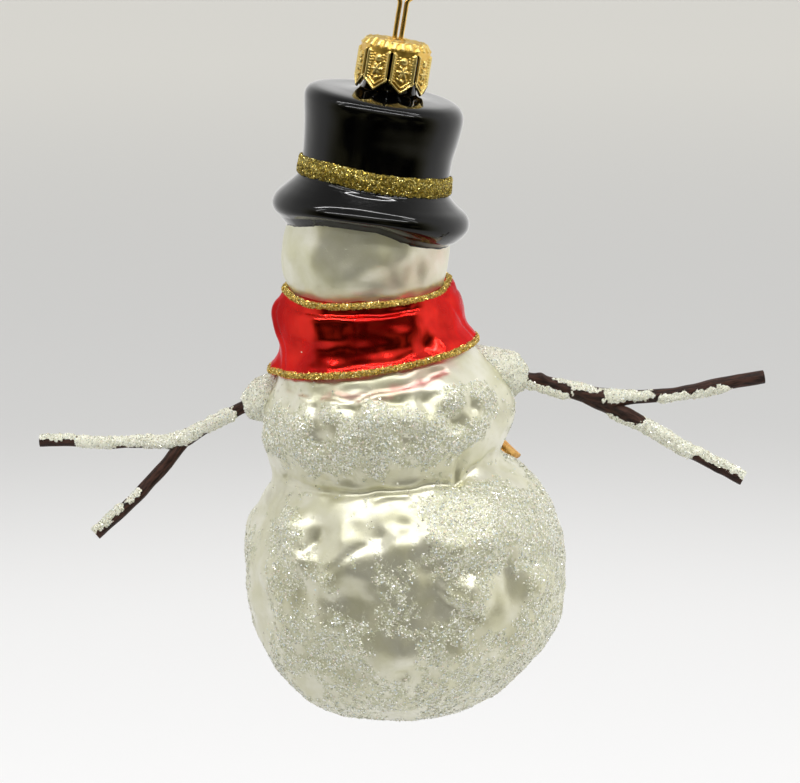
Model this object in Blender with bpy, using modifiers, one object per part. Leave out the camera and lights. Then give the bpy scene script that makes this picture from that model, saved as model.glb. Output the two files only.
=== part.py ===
"""Hanging glass snowman: a blown figure with a stamped crown cap, a wire eye and two twig arms.

Runs with  blender --background --python part.py  or from Blender's text editor.
The scene is in metres with +Z up. The snowman's face looks along -Y, and the origin is the point
that the ornament hangs from, at the top of the inside of the wire eye. Sizes below are millimetres
and degrees. An azimuth is measured round the figure from its back, +Y, towards its left side, +X.
"""

import math
from dataclasses import dataclass, fields

import bmesh
import bpy
from mathutils import Matrix, Vector, noise
from mathutils.bvhtree import BVHTree

MM = 0.001
GAP = 0.35                  # clearance between touching pieces

# The hanging axis runs down from the wire eye through the cap and the neck.
HANG_LEAN = 9.2             # the axis leans towards -X on its way up
HANG_SIDE = Vector((math.cos(math.radians(HANG_LEAN)), 0.0, math.sin(math.radians(HANG_LEAN))))
HANG_DOWN = Vector((math.sin(math.radians(HANG_LEAN)), 0.0, -math.cos(math.radians(HANG_LEAN))))
BACK = Vector((0.0, 1.0, 0.0))

# Blown glass figure
BALL_POINTS = 56            # points round one ring of the snow balls
UPPER_POINTS = 28           # points round one ring above them, half as many
DEPTH_RATIO = 0.95          # front-to-back size over side-to-side size
NECK_RADIUS = 4.9
NECK_BORE_RADIUS = 3.75
NECK_RIM_DROP = 15.6        # from the hanging point down the axis to the rim of the neck
NECK_FOOT_DROP = 24.2
NECK_FLARE = 0.5            # how much wider the neck gets where it meets the hat
NECK_FLARE_LENGTH = 1.2
NECK_BORE_DROP = 27.0

# Stamped crown cap
CAP_TOP_DROP = 14.4         # drops are measured down the axis from the hanging point
CAP_DISC_DROP = 14.55
CAP_SHOULDER_DROP = 15.9
CAP_BEAD_DROP = 16.7        # the bead round the wall above the slits
CAP_TIP_DROP = 24.0
CAP_CORNER_DROP = 22.0      # where a petal's straight side ends and its point begins
CAP_SLIT_DROP = 17.4        # where the slit between two petals begins
CAP_HOLE_RADIUS = 1.8
CAP_DISC_RADIUS = 5.2
CAP_SHOULDER_RADIUS = 6.05
CAP_WALL_RADIUS = 6.3
CAP_SHEET = 0.45
CAP_SLIT_WIDTH = 0.5
CAP_BORDER_RISE = 0.25
PETAL_COUNT = 8
PETAL_COLUMNS = (-1.0, -0.74, 0.0, 0.74, 1.0)   # columns across a petal, in half widths
PETAL_BORDER_LENGTH = 0.8
PETAL_FLATNESS = 0.4        # share of a flat facet's extra radius at the petal's edges
PETAL_LEVELS = (0.3, 0.65, 1.0)                 # rows down a petal's face
CAP_SLIT_ROW = 4            # the row of a column at which the slits begin

# Hanging wire
WIRE_RADIUS = 0.45
EYE_RADIUS = 3.6            # to the middle of the wire
EYE_STEPS = 14              # points round the eye's upper half
LEG_OFFSET = 0.62           # from the axis to the middle of each leg
LEG_SPREAD = 2.85           # how far the legs spring out inside the neck
# One leg from its foot in the neck up to the eye: distance from the axis, and drop
LEG_LINE = (
    (LEG_SPREAD, 25.0), (LEG_SPREAD, 22.0), (1.9, 19.0), (0.95, 17.0), (LEG_OFFSET, 15.6),
    (LEG_OFFSET, 12.5), (LEG_OFFSET, 9.6), (LEG_OFFSET, 7.7), (0.8, 7.1), (1.25, 6.6),
    (1.95, 6.1), (2.65, 5.5), (3.2, 4.75), (3.5, 3.9),
)

# Twigs
TWIG_SIDES = 4              # bevel resolution of a twig
SOCKET_RADIUS = 1.75
TWIG_WELD = 0.01            # points of a twig closer than this are one point
CONE_SIDES = 18
CONE_FOOT_SHARES = (0.25, 0.6, 1.0)             # rings of a cone's foot, in its widest radius
ABOVE_GLASS = 20.0          # start of a measuring ray outside the glass


@dataclass(frozen=True)
class Section:
    """One oval ring of the glass, in millimetres and degrees."""

    x: float
    height: float
    half_width: float
    roll: float = 0.0       # turns the ring's +X side up
    pitch: float = 0.0      # turns the ring's back down
    depth: float = DEPTH_RATIO

    def point(self, azimuth, rise=0.0):
        """Give the point of the ring at an azimuth, pushed outwards by a rise."""
        roll = math.radians(self.roll)
        pitch = math.radians(self.pitch)
        side = Vector((math.cos(roll), 0.0, math.sin(roll)))
        back = Vector((0.0, math.cos(pitch), -math.sin(pitch)))
        angle = math.radians(azimuth)
        across = side * math.sin(angle) * (self.half_width + rise)
        along = back * math.cos(angle) * (self.half_width * self.depth + rise)
        return Vector((self.x, 0.0, self.height)) + across + along


# The two snow balls, from the bottom up to the scarf. They are smoothed between these rings.
BALLS = (
    Section(2.1, -143.3, 4.5, -1.0),
    Section(2.0, -142.6, 11.0, -1.0),
    Section(1.5, -140.4, 17.2, -2.0),
    Section(0.5, -136.8, 22.2, -5.0),
    Section(-0.6, -132.0, 26.4, -6.6),
    Section(-0.7, -126.9, 29.1, -6.6),
    Section(0.1, -121.2, 30.3, -6.6),
    Section(0.8, -115.2, 30.7, -6.6),
    Section(1.4, -109.2, 30.0, -6.6),
    Section(1.9, -103.6, 28.0, -6.6),
    Section(2.5, -99.2, 25.2, -6.6, 2.0),
    Section(3.4, -95.7, 21.9, -5.5, 3.0),
    Section(3.9, -93.3, 21.3, -4.5, 3.0),
    Section(4.2, -90.2, 22.4, -5.5, 2.0),
    Section(4.5, -86.4, 23.2, -6.6, 1.0),
    Section(5.0, -82.6, 22.8, -6.6),
    Section(5.6, -78.6, 21.3, -7.5),
    Section(6.3, -74.9, 18.8, -8.7),
)
BALL_STEPS = 2              # rings for each stretch between two sections

# The scarf, the head, the hat and the neck, from the bottom up. These rings are used as they are.
UPPER = (
    Section(6.4, -74.5, 19.4, -8.7),
    Section(6.4, -72.9, 19.2, -8.7),
    Section(6.5, -72.6, 18.9, -8.4),
    Section(7.0, -69.6, 18.3, -7.0, 1.0),
    Section(7.5, -66.4, 17.7, -5.0, 3.0),
    Section(7.9, -63.4, 17.1, -3.2, 4.0),
    Section(7.8, -62.0, 16.1, -2.2, 5.0),
    Section(7.7, -61.8, 16.3, -2.1, 5.0),
    Section(7.7, -60.3, 15.9, -2.1, 5.0),
    Section(8.1, -60.0, 14.7, -2.0, 5.0),
    Section(8.5, -57.8, 15.4, 0.0, 3.0),
    Section(8.4, -55.0, 15.7, 2.0, 1.0),
    Section(8.1, -52.2, 15.6, 5.0, 1.0),
    Section(7.8, -50.5, 15.6, 7.5, 1.0),
    Section(7.5, -49.4, 17.0, 7.6),
    Section(7.3, -47.9, 18.3, 6.6),
    Section(7.3, -46.3, 18.6, 6.4),
    Section(7.2, -44.7, 17.9, 7.0),
    Section(7.0, -43.1, 16.2, 8.2),
    Section(6.8, -41.8, 14.7, 8.8),
    Section(6.7, -41.4, 14.7, 8.8),
    Section(6.4, -38.2, 14.6, 8.8),
    Section(6.4, -37.9, 14.0, 8.8),
    Section(5.9, -34.6, 14.1, 8.8),
    Section(5.3, -31.0, 14.6, 9.0, 1.0),
    Section(4.9, -27.8, 14.9, 9.0, 3.0),
    Section(4.8, -26.2, 14.6, 9.0, 4.0),
    Section(4.7, -24.9, 13.6, 9.0, 4.0),
    Section(4.6, -24.2, 11.8, 9.0, 4.0),
    Section(4.4, -24.0, 8.0, 9.0, 3.0),
)
SCARF_RINGS = (-74.0, -70.4)   # heights between which the scarf's side fold fades out
FOLD_LIP = 1.5              # how far the fold reaches below the first of them
FOLD_AZIMUTHS = (76.0, 84.0, 140.0, 170.0)
FOLD_RISE = 1.2

# Lumps of packed snow on the back: azimuth, height, rise and reach. A dent has a negative rise.
BACK_LUMPS = (
    (25, -83, 0.6, 4.2), (3, -83, 0.7, 4.9), (51, -84, 0.6, 4.6), (-21, -82, 0.6, 4.6),
    (-41, -79, 0.6, 3.8), (-65, -80, 0.6, 3.2), (-8, -87, -0.6, 3.8), (-41, -88, 0.4, 3.8),
    (19, -89, 0.4, 4.2), (44, -89, 0.4, 3.8), (15, -79, -0.4, 3.8), (-23, -77, -0.35, 4.2),
    (47, -102, 0.8, 4.6), (30, -104, -0.8, 3.4), (19, -98, 0.6, 4.6), (-3, -97, 0.5, 4.2),
    (9, -103, -0.7, 4.6), (25, -107, 0.8, 4.6), (1, -105, 0.7, 3.8), (38, -112, -0.5, 4.2),
    (-10, -109, -0.8, 3.8), (-23, -105, 0.6, 4.6), (-43, -105, 0.5, 4.9), (16, -114, -1.0, 5.7),
    (-10, -115, -0.8, 4.2), (-23, -115, 0.7, 3.4), (-39, -113, -0.6, 3.8), (-53, -117, 0.7, 3.2),
    (5, -124, 0.8, 3.8), (29, -125, -0.6, 4.6), (56, -127, 0.5, 4.2), (-14, -126, 0.6, 4.6),
    (-34, -125, -0.5, 4.2), (8, -135, 0.5, 3.8), (48, -135, 0.4, 3.8), (60, -116, -0.5, 3.8),
    (56, -110, 0.5, 3.4), (-62, -110, 0.4, 3.6), (-40, -99, 0.4, 4.2), (-18, -100, -0.4, 3.4),
)
FRONT_LUMP_COUNT = 34
FRONT_LUMP_HEIGHTS = (-138.0, -80.0)
FRONT_LUMP_AZIMUTHS = (75.0, 285.0)
FRONT_LUMP_RISE = 0.7
FRONT_LUMP_REACH = 4.4
GOLDEN_ANGLE = 137.5
LUMP_SCALE = 1.4            # how strongly the lumps stand out
GRAIN_RISE = 0.25           # fine unevenness of the moulded snow
GRAIN_SIZE = 6.0

# Relief of the front: face, buttons, scarf knot and scarf tail
FRONT = 180.0
NOSE_HEIGHT = -56.5
NOSE_RADIUS = 1.9
NOSE_TIP_RADIUS = 0.35
NOSE_LENGTH = 7.0
NOSE_SINK = 1.0             # how deep the nose's foot sits in the face
NOSE_DROOP = 6.0            # degrees
NOSE_SIDES = 14
EYE_HEIGHT = -53.0
EYE_AZIMUTH = 19.0
COAL_RADIUS = 1.2
COAL_SINK = 0.3
BUTTONS = ((176.0, -84.0), (174.0, -91.0), (174.0, -106.0))    # azimuth and height
BUTTON_SIZE = (1.7, 1.3, 1.7)
BUTTON_SINK = 0.2
KNOT_AZIMUTH = 196.0
KNOT_HEIGHT = -71.0
KNOT_RISE = 0.4
KNOT_SIZE = (5.2, 3.4, 4.4)
# Centre line of the tail: azimuth, height and distance from the figure's axis to its outer face
TAIL_LINE = (
    (199.0, -72.0, 20.8), (204.0, -78.0, 23.2), (210.0, -84.0, 24.8),
    (217.0, -89.5, 25.3), (225.0, -94.0, 25.8), (233.0, -98.5, 28.1),
)
TAIL_WIDTH = 13.0
TAIL_THICKNESS = 7.5
TAIL_CROWN = 0.45           # how far the tail's middle stands above its edges
TAIL_COLUMNS = (-1.0, -0.8, 0.0, 0.8, 1.0)      # columns across the tail, in half widths

# Arm twigs: points down the middle, and the radius at each
LEFT_ARM = (
    ((30.2, -5.0, -84.3), 1.2), ((32.4, -5.0, -85.1), 1.2), ((34.5, -5.2, -86.3), 1.2),
    ((39.6, -5.8, -89.2), 1.2), ((43.4, -6.2, -91.2), 1.35), ((47.2, -6.6, -92.0), 1.15),
    ((52.1, -7.2, -92.2), 1.1), ((57.5, -7.8, -92.5), 1.05), ((62.2, -8.2, -92.4), 1.05),
    ((65.8, -8.6, -92.2), 1.1), ((71.6, -9.0, -92.4), 1.05),
)
LEFT_BRANCH = (
    ((43.2, -6.3, -91.4), 1.15), ((46.2, -5.2, -95.2), 1.2), ((49.2, -4.2, -98.5), 1.2),
    ((52.3, -3.0, -101.7), 1.2), ((55.8, -1.6, -105.0), 1.15), ((60.2, 0.0, -108.7), 1.15),
)
RIGHT_ARM = (
    ((-19.2, -3.0, -78.3), 1.2), ((-21.6, -3.0, -78.7), 1.25), ((-25.8, -3.0, -79.7), 1.35),
    ((-29.9, -3.2, -80.9), 1.5), ((-34.5, -3.4, -82.1), 1.7), ((-38.7, -3.6, -82.7), 1.6),
    ((-43.3, -3.8, -82.6), 1.35), ((-47.2, -4.2, -82.5), 1.3), ((-51.4, -4.7, -82.1), 1.25),
    ((-55.7, -5.2, -81.3), 1.3), ((-60.9, -5.6, -80.2), 1.3), ((-68.0, -6.0, -79.1), 1.3),
)
RIGHT_BRANCH = (
    ((-34.0, -3.3, -82.6), 1.3), ((-39.4, -3.0, -85.0), 1.4), ((-43.3, -2.4, -86.8), 1.35),
    ((-46.9, -1.8, -88.8), 1.3), ((-49.9, -1.0, -90.5), 1.3), ((-52.9, -0.4, -92.1), 1.25),
    ((-56.3, 0.4, -93.8), 1.25), ((-59.5, 1.2, -95.4), 1.25), ((-63.5, 2.0, -97.4), 1.25),
)
# Snow cones at the shoulders: distance out from the glass, and radius there
LEFT_CONE = ((1.2, 4.5), (2.8, 3.8), (4.2, 2.9), (5.2, 2.35))
RIGHT_CONE = ((1.6, 4.7), (3.4, 4.3), (5.0, 3.1), (6.2, 2.4))


# ---------------------------------------------------------------- scene and materials

def clear_scene():
    """Remove every object of the open scene."""
    for thing in list(bpy.data.objects):
        bpy.data.objects.remove(thing, do_unlink=True)


def new_collection(name, hidden=False):
    """Add a collection to the scene."""
    group = bpy.data.collections.new(name)
    bpy.context.scene.collection.children.link(group)
    group.hide_render = hidden
    return group


def new_material(name, colour, roughness, metallic=0.0):
    """Make a plain Principled material."""
    material = bpy.data.materials.new(name)
    material.use_nodes = True
    shader = material.node_tree.nodes["Principled BSDF"]
    shader.inputs["Base Color"].default_value = (*colour, 1.0)
    shader.inputs["Roughness"].default_value = roughness
    shader.inputs["Metallic"].default_value = metallic
    material.diffuse_color = (*colour, 1.0)
    return material


def add_object(name, mesh, group, material=None):
    """Put a mesh into the scene as a smooth-shaded object."""
    thing = bpy.data.objects.new(name, mesh)
    group.objects.link(thing)
    if material:
        mesh.materials.append(material)
    mesh.shade_smooth()
    return thing


def mesh_from(shape, name):
    """Turn a bmesh into a mesh whose faces look outwards."""
    bmesh.ops.recalc_face_normals(shape, faces=shape.faces)
    if shape.calc_volume(signed=True) < 0:
        bmesh.ops.reverse_faces(shape, faces=shape.faces)
    mesh = bpy.data.meshes.new(name)
    shape.to_mesh(mesh)
    shape.free()
    return mesh


def apply_modifiers(thing):
    """Replace an object's mesh by the result of its modifiers."""
    graph = bpy.context.evaluated_depsgraph_get()
    mesh = bpy.data.meshes.new_from_object(thing.evaluated_get(graph))
    thing.modifiers.clear()
    thing.data = mesh
    mesh.shade_smooth()


# ---------------------------------------------------------------- lofts

def loft(rings, name):
    """Skin a list of rings of points, in millimetres, and close both ends."""
    shape = bmesh.new()
    rows = [[shape.verts.new(point * MM) for point in ring] for ring in rings]
    for lower, upper in zip(rows, rows[1:]):
        bridge(shape, lower, upper)
    shape.faces.new(rows[0])
    shape.faces.new(rows[-1])
    return mesh_from(shape, name)


def bridge(shape, lower, upper):
    """Join two rings with faces. The upper one has as many points as the lower one, or half."""
    ratio = len(lower) // len(upper)
    for index, vert in enumerate(upper):
        after = upper[(index + 1) % len(upper)]
        first = lower[index * ratio]
        last = lower[(index + 1) * ratio % len(lower)]
        if ratio == 1:
            shape.faces.new((first, last, after, vert))
        else:
            middle = lower[index * ratio + 1]
            shape.faces.new((first, middle, vert))
            shape.faces.new((middle, last, after, vert))


def smooth_sections(sections, steps):
    """Fill in rings between sections along a curve through all of them."""
    filled = []
    last = len(sections) - 1
    for index in range(last):
        four = [sections[min(max(index + shift, 0), last)] for shift in (-1, 0, 1, 2)]
        for step in range(steps):
            filled.append(blend_sections(four, step / steps))
    filled.append(sections[-1])
    return filled


def blend_sections(four, way):
    """Interpolate a section between the middle two of four."""
    values = []
    for field in fields(Section):
        before, start, end, after = (getattr(section, field.name) for section in four)
        slope_in = (end - before) / 2
        slope_out = (after - start) / 2
        square = way * way
        cube = square * way
        values.append(
            start * (2 * cube - 3 * square + 1) + end * (3 * square - 2 * cube)
            + slope_in * (cube - 2 * square + way) + slope_out * (cube - square)
        )
    return Section(*values)


# ---------------------------------------------------------------- the blown figure

def section_at(height):
    """Give the section of the figure at a height, blended between its neighbours."""
    sections = BALLS + UPPER
    for lower, upper in zip(sections, sections[1:]):
        if lower.height <= height <= upper.height:
            way = (height - lower.height) / (upper.height - lower.height)
            return blend_sections((lower, lower, upper, upper), way)
    return sections[0]


def all_lumps():
    """List each lump as its middle, in millimetres, its rise and its reach."""
    lumps = list(BACK_LUMPS)
    lowest, highest = FRONT_LUMP_HEIGHTS
    first, last = FRONT_LUMP_AZIMUTHS
    for index in range(FRONT_LUMP_COUNT):
        way = (index + 0.5) / FRONT_LUMP_COUNT
        azimuth = first + (index * GOLDEN_ANGLE) % (last - first)
        rise = FRONT_LUMP_RISE if index % 3 else -FRONT_LUMP_RISE
        lumps.append((azimuth, lowest + way * (highest - lowest), rise, FRONT_LUMP_REACH))
    return [(section_at(height).point(azimuth), rise, reach) for azimuth, height, rise, reach in lumps]


def snow_rise(point, lumps):
    """Sum the lumps and the unevenness that reach a point of the snow."""
    rise = noise.noise(point / GRAIN_SIZE) * GRAIN_RISE
    for middle, height, reach in lumps:
        rise += LUMP_SCALE * height * math.exp(-((point - middle).length / reach) ** 2)
    return rise


def fold_rise(section, azimuth):
    """Give the rise of the fold at the scarf's left side."""
    lowest, highest = SCARF_RINGS
    if not lowest - FOLD_LIP <= section.height <= highest:
        return 0.0
    start, full, fade, end = FOLD_AZIMUTHS
    up = min(max((azimuth - start) / (full - start), 0.0), 1.0)
    down = min(max((end - azimuth) / (end - fade), 0.0), 1.0)
    low = 1.0 - max(section.height - lowest, 0.0) / (highest - lowest)
    return FOLD_RISE * up * down * low


def figure_rings():
    """List the rings of the figure from its bottom, up to the neck and down into its bore."""
    azimuths = [360.0 * index / BALL_POINTS for index in range(BALL_POINTS)]
    lumps = all_lumps()
    rings = []
    for section in smooth_sections(BALLS, BALL_STEPS):
        plain = [section.point(azimuth) for azimuth in azimuths]
        rises = [snow_rise(point, lumps) for point in plain]
        rings.append([section.point(azimuth, rise) for azimuth, rise in zip(azimuths, rises)])
    azimuths = [360.0 * index / UPPER_POINTS for index in range(UPPER_POINTS)]
    for section in UPPER:
        rings.append([section.point(azimuth, fold_rise(section, azimuth)) for azimuth in azimuths])
    neck = (
        (NECK_FOOT_DROP, NECK_RADIUS + NECK_FLARE),
        (NECK_FOOT_DROP - NECK_FLARE_LENGTH, NECK_RADIUS),
        (NECK_RIM_DROP, NECK_RADIUS),
        (NECK_RIM_DROP, NECK_BORE_RADIUS),
        (NECK_BORE_DROP, NECK_BORE_RADIUS),
    )
    for drop, radius in neck:
        rings.append([hang_point(radius, azimuth, drop) for azimuth in azimuths])
    return rings


def hang_point(radius, azimuth, drop):
    """Give a point round the hanging axis, a drop below the hanging point."""
    angle = math.radians(azimuth)
    return HANG_DOWN * drop + (HANG_SIDE * math.sin(angle) + BACK * math.cos(angle)) * radius


def round_lump(name, centre, size, turn=0.0):
    """Make an oval lump whose second size points away from the figure's axis."""
    shape = bmesh.new()
    bmesh.ops.create_uvsphere(shape, u_segments=10, v_segments=6, radius=1.0)
    scale = Matrix.Diagonal((*size, 1.0))
    place = Matrix.Translation(centre) @ Matrix.Rotation(math.radians(turn), 4, "Z") @ scale
    bmesh.ops.transform(shape, matrix=Matrix.Scale(MM, 4) @ place, verts=shape.verts)
    return mesh_from(shape, name)


def carrot_nose():
    """Make the nose: a cone that stands out of the middle of the face."""
    foot = section_at(NOSE_HEIGHT).point(FRONT, -NOSE_SINK)
    shape = bmesh.new()
    bmesh.ops.create_cone(
        shape,
        cap_ends=True,
        segments=NOSE_SIDES,
        radius1=NOSE_RADIUS,
        radius2=NOSE_TIP_RADIUS,
        depth=NOSE_LENGTH,
    )
    lean = Matrix.Rotation(math.radians(90.0 + NOSE_DROOP), 4, "X")
    half = lean @ Vector((0.0, 0.0, NOSE_LENGTH / 2))
    place = Matrix.Scale(MM, 4) @ Matrix.Translation(foot + half) @ lean
    bmesh.ops.transform(shape, matrix=place, verts=shape.verts)
    return mesh_from(shape, "nose")


def scarf_tail():
    """Make the scarf's hanging tail as a bent strip with a wide end."""
    rings = []
    for azimuth, height, distance in TAIL_LINE:
        section = section_at(height)
        half_turn = math.degrees(TAIL_WIDTH / 2 / distance)
        outer, inner = [], []
        for share in TAIL_COLUMNS:
            crown = 0.0 if abs(share) == 1.0 else TAIL_CROWN
            radius = distance + crown - section.half_width
            turn = azimuth + share * half_turn
            outer.append(section.point(turn, radius))
            inner.append(section.point(turn, radius - TAIL_THICKNESS))
        rings.append(outer + inner[::-1])
    return loft(rings, "tail")


def figure_relief():
    """List the raised forms of the front as meshes: face, buttons, knot and tail."""
    forms = [carrot_nose(), scarf_tail()]
    for azimuth in (FRONT - EYE_AZIMUTH, FRONT + EYE_AZIMUTH):
        centre = section_at(EYE_HEIGHT).point(azimuth, -COAL_SINK)
        forms.append(round_lump("eye", centre, (COAL_RADIUS,) * 3))
    for azimuth, height in BUTTONS:
        centre = section_at(height).point(azimuth, -BUTTON_SINK)
        forms.append(round_lump("button", centre, BUTTON_SIZE, FRONT - azimuth))
    centre = section_at(KNOT_HEIGHT).point(KNOT_AZIMUTH, KNOT_RISE)
    forms.append(round_lump("knot", centre, KNOT_SIZE, FRONT - KNOT_AZIMUTH))
    return forms


def build_figure(parts, cutters):
    """Build the blown figure and join the relief of its front to it."""
    glass = new_material("pearl_lacquer", (0.84, 0.84, 0.78), 0.25)
    figure = add_object("glass_figure", loft(figure_rings(), "glass_figure"), parts, glass)
    for form in figure_relief():
        tool = add_object(f"{form.name}_form", form, cutters)
        tool.display_type = "WIRE"
        tool.hide_render = True
        union = figure.modifiers.new(form.name, "BOOLEAN")
        union.operation = "UNION"
        union.object = tool
    apply_modifiers(figure)
    for tool in list(cutters.objects):
        bpy.data.objects.remove(tool, do_unlink=True)
    return figure


# ---------------------------------------------------------------- the crown cap

def petal_radius(share, radius, half_turn):
    """Flatten a petal a little across its width."""
    corner = 1.0 / math.cos(math.radians(share * half_turn)) - 1.0
    return radius * (1.0 + PETAL_FLATNESS * corner)


def cap_column(share, half_turn):
    """List the rows of one column of a petal, from the hole to its lower edge: radius and drop."""
    bottom = CAP_TIP_DROP - (CAP_TIP_DROP - CAP_CORNER_DROP) * abs(share)
    border = bottom - PETAL_BORDER_LENGTH
    edge_rise = CAP_BORDER_RISE if abs(share) > 0.5 else 0.0
    rows = [
        (CAP_HOLE_RADIUS, CAP_TOP_DROP),
        (CAP_DISC_RADIUS, CAP_DISC_DROP),
        (CAP_SHOULDER_RADIUS, CAP_SHOULDER_DROP),
        (CAP_WALL_RADIUS + CAP_BORDER_RISE, CAP_BEAD_DROP),
        (CAP_WALL_RADIUS + edge_rise, CAP_SLIT_DROP),
    ]
    for way in PETAL_LEVELS:
        rows.append((CAP_WALL_RADIUS + edge_rise, CAP_SLIT_DROP + way * (border - CAP_SLIT_DROP)))
    rows.append((CAP_WALL_RADIUS + CAP_BORDER_RISE, bottom))
    return [(petal_radius(share, radius, half_turn), drop) for radius, drop in rows]


def build_cap(parts):
    """Build the crown cap: a disc with a hole, a shoulder and eight pointed petals."""
    brass = new_material("gold_brass", (0.83, 0.60, 0.20), 0.25, 1.0)
    half_slit = math.degrees(CAP_SLIT_WIDTH / 2 / CAP_WALL_RADIUS)
    half_turn = 180.0 / PETAL_COUNT - half_slit
    shape = bmesh.new()
    columns = []
    for petal in range(PETAL_COUNT):
        for share in PETAL_COLUMNS:
            azimuth = (petal + 0.5) * 360.0 / PETAL_COUNT + share * half_turn
            rows = cap_column(share, half_turn)
            columns.append([shape.verts.new(hang_point(r, azimuth, drop) * MM) for r, drop in rows])
    for index, column in enumerate(columns):
        after = columns[(index + 1) % len(columns)]
        over_slit = (index + 1) % len(PETAL_COLUMNS) == 0
        last = CAP_SLIT_ROW if over_slit else len(column) - 1
        for row in range(last):
            shape.faces.new((column[row], column[row + 1], after[row + 1], after[row]))
    cap = add_object("cap", mesh_from(shape, "cap"), parts, brass)
    sheet = cap.modifiers.new("sheet", "SOLIDIFY")
    sheet.thickness = CAP_SHEET * MM
    sheet.offset = -1.0
    return cap


# ---------------------------------------------------------------- wire and twigs

def tube(name, points, radii, group, material, sides):
    """Make a round bar with flat ends along a line of points, all in millimetres."""
    curve = bpy.data.curves.new(name, "CURVE")
    curve.dimensions = "3D"
    curve.bevel_depth = MM
    curve.bevel_resolution = sides
    curve.use_fill_caps = True
    spline = curve.splines.new("POLY")
    spline.points.add(len(points) - 1)
    for knot, point, radius in zip(spline.points, points, radii):
        knot.co = (*(Vector(point) * MM), 1.0)
        knot.radius = radius
    bar = bpy.data.objects.new(name, curve)
    group.objects.link(bar)
    if material:
        curve.materials.append(material)
    return bar


def wire_points():
    """List the points of the bent wire, from one leg's foot over the eye to the other."""
    middle = EYE_RADIUS - WIRE_RADIUS       # the inside of the eye's top is the hanging point
    eye = []
    for step in range(EYE_STEPS + 1):
        angle = math.pi * step / EYE_STEPS
        eye.append((EYE_RADIUS * math.cos(angle), middle - EYE_RADIUS * math.sin(angle)))
    other = [(-side, drop) for side, drop in reversed(LEG_LINE)]
    return [HANG_SIDE * side + HANG_DOWN * drop for side, drop in (*LEG_LINE, *eye, *other)]


def build_wire(parts):
    """Build the hanging wire."""
    gold = new_material("gold_wire", (0.85, 0.65, 0.26), 0.2, 1.0)
    points = wire_points()
    return tube("hanging_wire", points, [WIRE_RADIUS] * len(points), parts, gold, 2)


def solid_twig(name, line, group, material, extra=0.0):
    """Make a twig as a closed mesh from its line of points and radii."""
    points = [point for point, radius in line]
    radii = [radius + extra for point, radius in line]
    bar = tube(name, points, radii, group, material, TWIG_SIDES)
    bpy.context.view_layer.update()
    graph = bpy.context.evaluated_depsgraph_get()
    mesh = bpy.data.meshes.new_from_object(bar.evaluated_get(graph))
    bpy.data.objects.remove(bar, do_unlink=True)
    shape = bmesh.new()
    shape.from_mesh(mesh)
    bmesh.ops.remove_doubles(shape, verts=shape.verts, dist=TWIG_WELD * MM)
    shape.to_mesh(mesh)
    shape.free()
    return add_object(name, mesh, group)


def build_arm(name, line, branch_line, parts, cutters, bark):
    """Build a twig and its side branch, whose foot is hollowed to sit on the twig."""
    arm = solid_twig(name, line, parts, bark)
    branch = solid_twig(f"{name}_branch", branch_line, parts, bark)
    seat = solid_twig(f"{name}_seat", line, cutters, None, GAP)
    seat.display_type = "WIRE"
    seat.hide_render = True
    cut = branch.modifiers.new("seat", "BOOLEAN")
    cut.operation = "DIFFERENCE"
    cut.object = seat
    apply_modifiers(branch)
    bpy.data.objects.remove(seat, do_unlink=True)
    keep_largest_part(branch.data)
    return arm, branch


def keep_largest_part(mesh):
    """Delete all loose parts of a mesh but the longest one."""
    shape = bmesh.new()
    shape.from_mesh(mesh)
    waiting = set(shape.verts)
    pieces = []
    while waiting:
        piece = set()
        edge = [waiting.pop()]
        while edge:
            vert = edge.pop()
            piece.add(vert)
            near = {link.other_vert(vert) for link in vert.link_edges} & waiting
            waiting -= near
            edge.extend(near)
        pieces.append(piece)
    pieces.sort(key=len)
    for piece in pieces[:-1]:
        bmesh.ops.delete(shape, geom=list(piece), context="VERTS")
    shape.to_mesh(mesh)
    shape.free()


# ---------------------------------------------------------------- shoulder snow

def build_cone(name, line, profile, figure, parts, material):
    """Build a snow cone on the glass, with a socket for the twig that starts the given line."""
    start = Vector(line[0][0])
    out = (Vector(line[1][0]) - start).normalized()
    across = BACK.cross(out).normalized()
    around = out.cross(across)
    glass = BVHTree.FromObject(figure, bpy.context.evaluated_depsgraph_get())

    def ring(distance, radius):
        turns = [math.tau * index / CONE_SIDES for index in range(CONE_SIDES)]
        centre = start + out * distance
        return [centre + (across * math.cos(t) + around * math.sin(t)) * radius for t in turns]

    def on_glass(point):
        origin = (point + out * ABOVE_GLASS) * MM
        hit = glass.ray_cast(origin, -out)[0]
        return hit / MM + out * GAP

    foot = (on_glass(start) - start).dot(out) - GAP
    widest = profile[0][1]
    rings = [[on_glass(point) for point in ring(0.0, share * widest)] for share in CONE_FOOT_SHARES]
    rings += [ring(foot + distance, radius) for distance, radius in profile]
    mouth = foot + profile[-1][0]
    rings += [ring(mouth, SOCKET_RADIUS), ring(-GAP, SOCKET_RADIUS)]
    return add_object(name, loft(rings, name), parts, material)


# ---------------------------------------------------------------- the whole ornament

def main():
    """Build every piece of the ornament."""
    clear_scene()
    parts = new_collection("glass_snowman_ornament")
    cutters = new_collection("cutters", hidden=True)
    figure = build_figure(parts, cutters)
    build_cap(parts)
    build_wire(parts)
    bark = new_material("bark", (0.14, 0.075, 0.06), 0.6)
    build_arm("left_arm", LEFT_ARM, LEFT_BRANCH, parts, cutters, bark)
    build_arm("right_arm", RIGHT_ARM, RIGHT_BRANCH, parts, cutters, bark)
    paste = new_material("snow_paste", (0.86, 0.88, 0.84), 0.8)
    build_cone("left_shoulder_snow", LEFT_ARM, LEFT_CONE, figure, parts, paste)
    build_cone("right_shoulder_snow", RIGHT_ARM, RIGHT_CONE, figure, parts, paste)


main()
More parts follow.
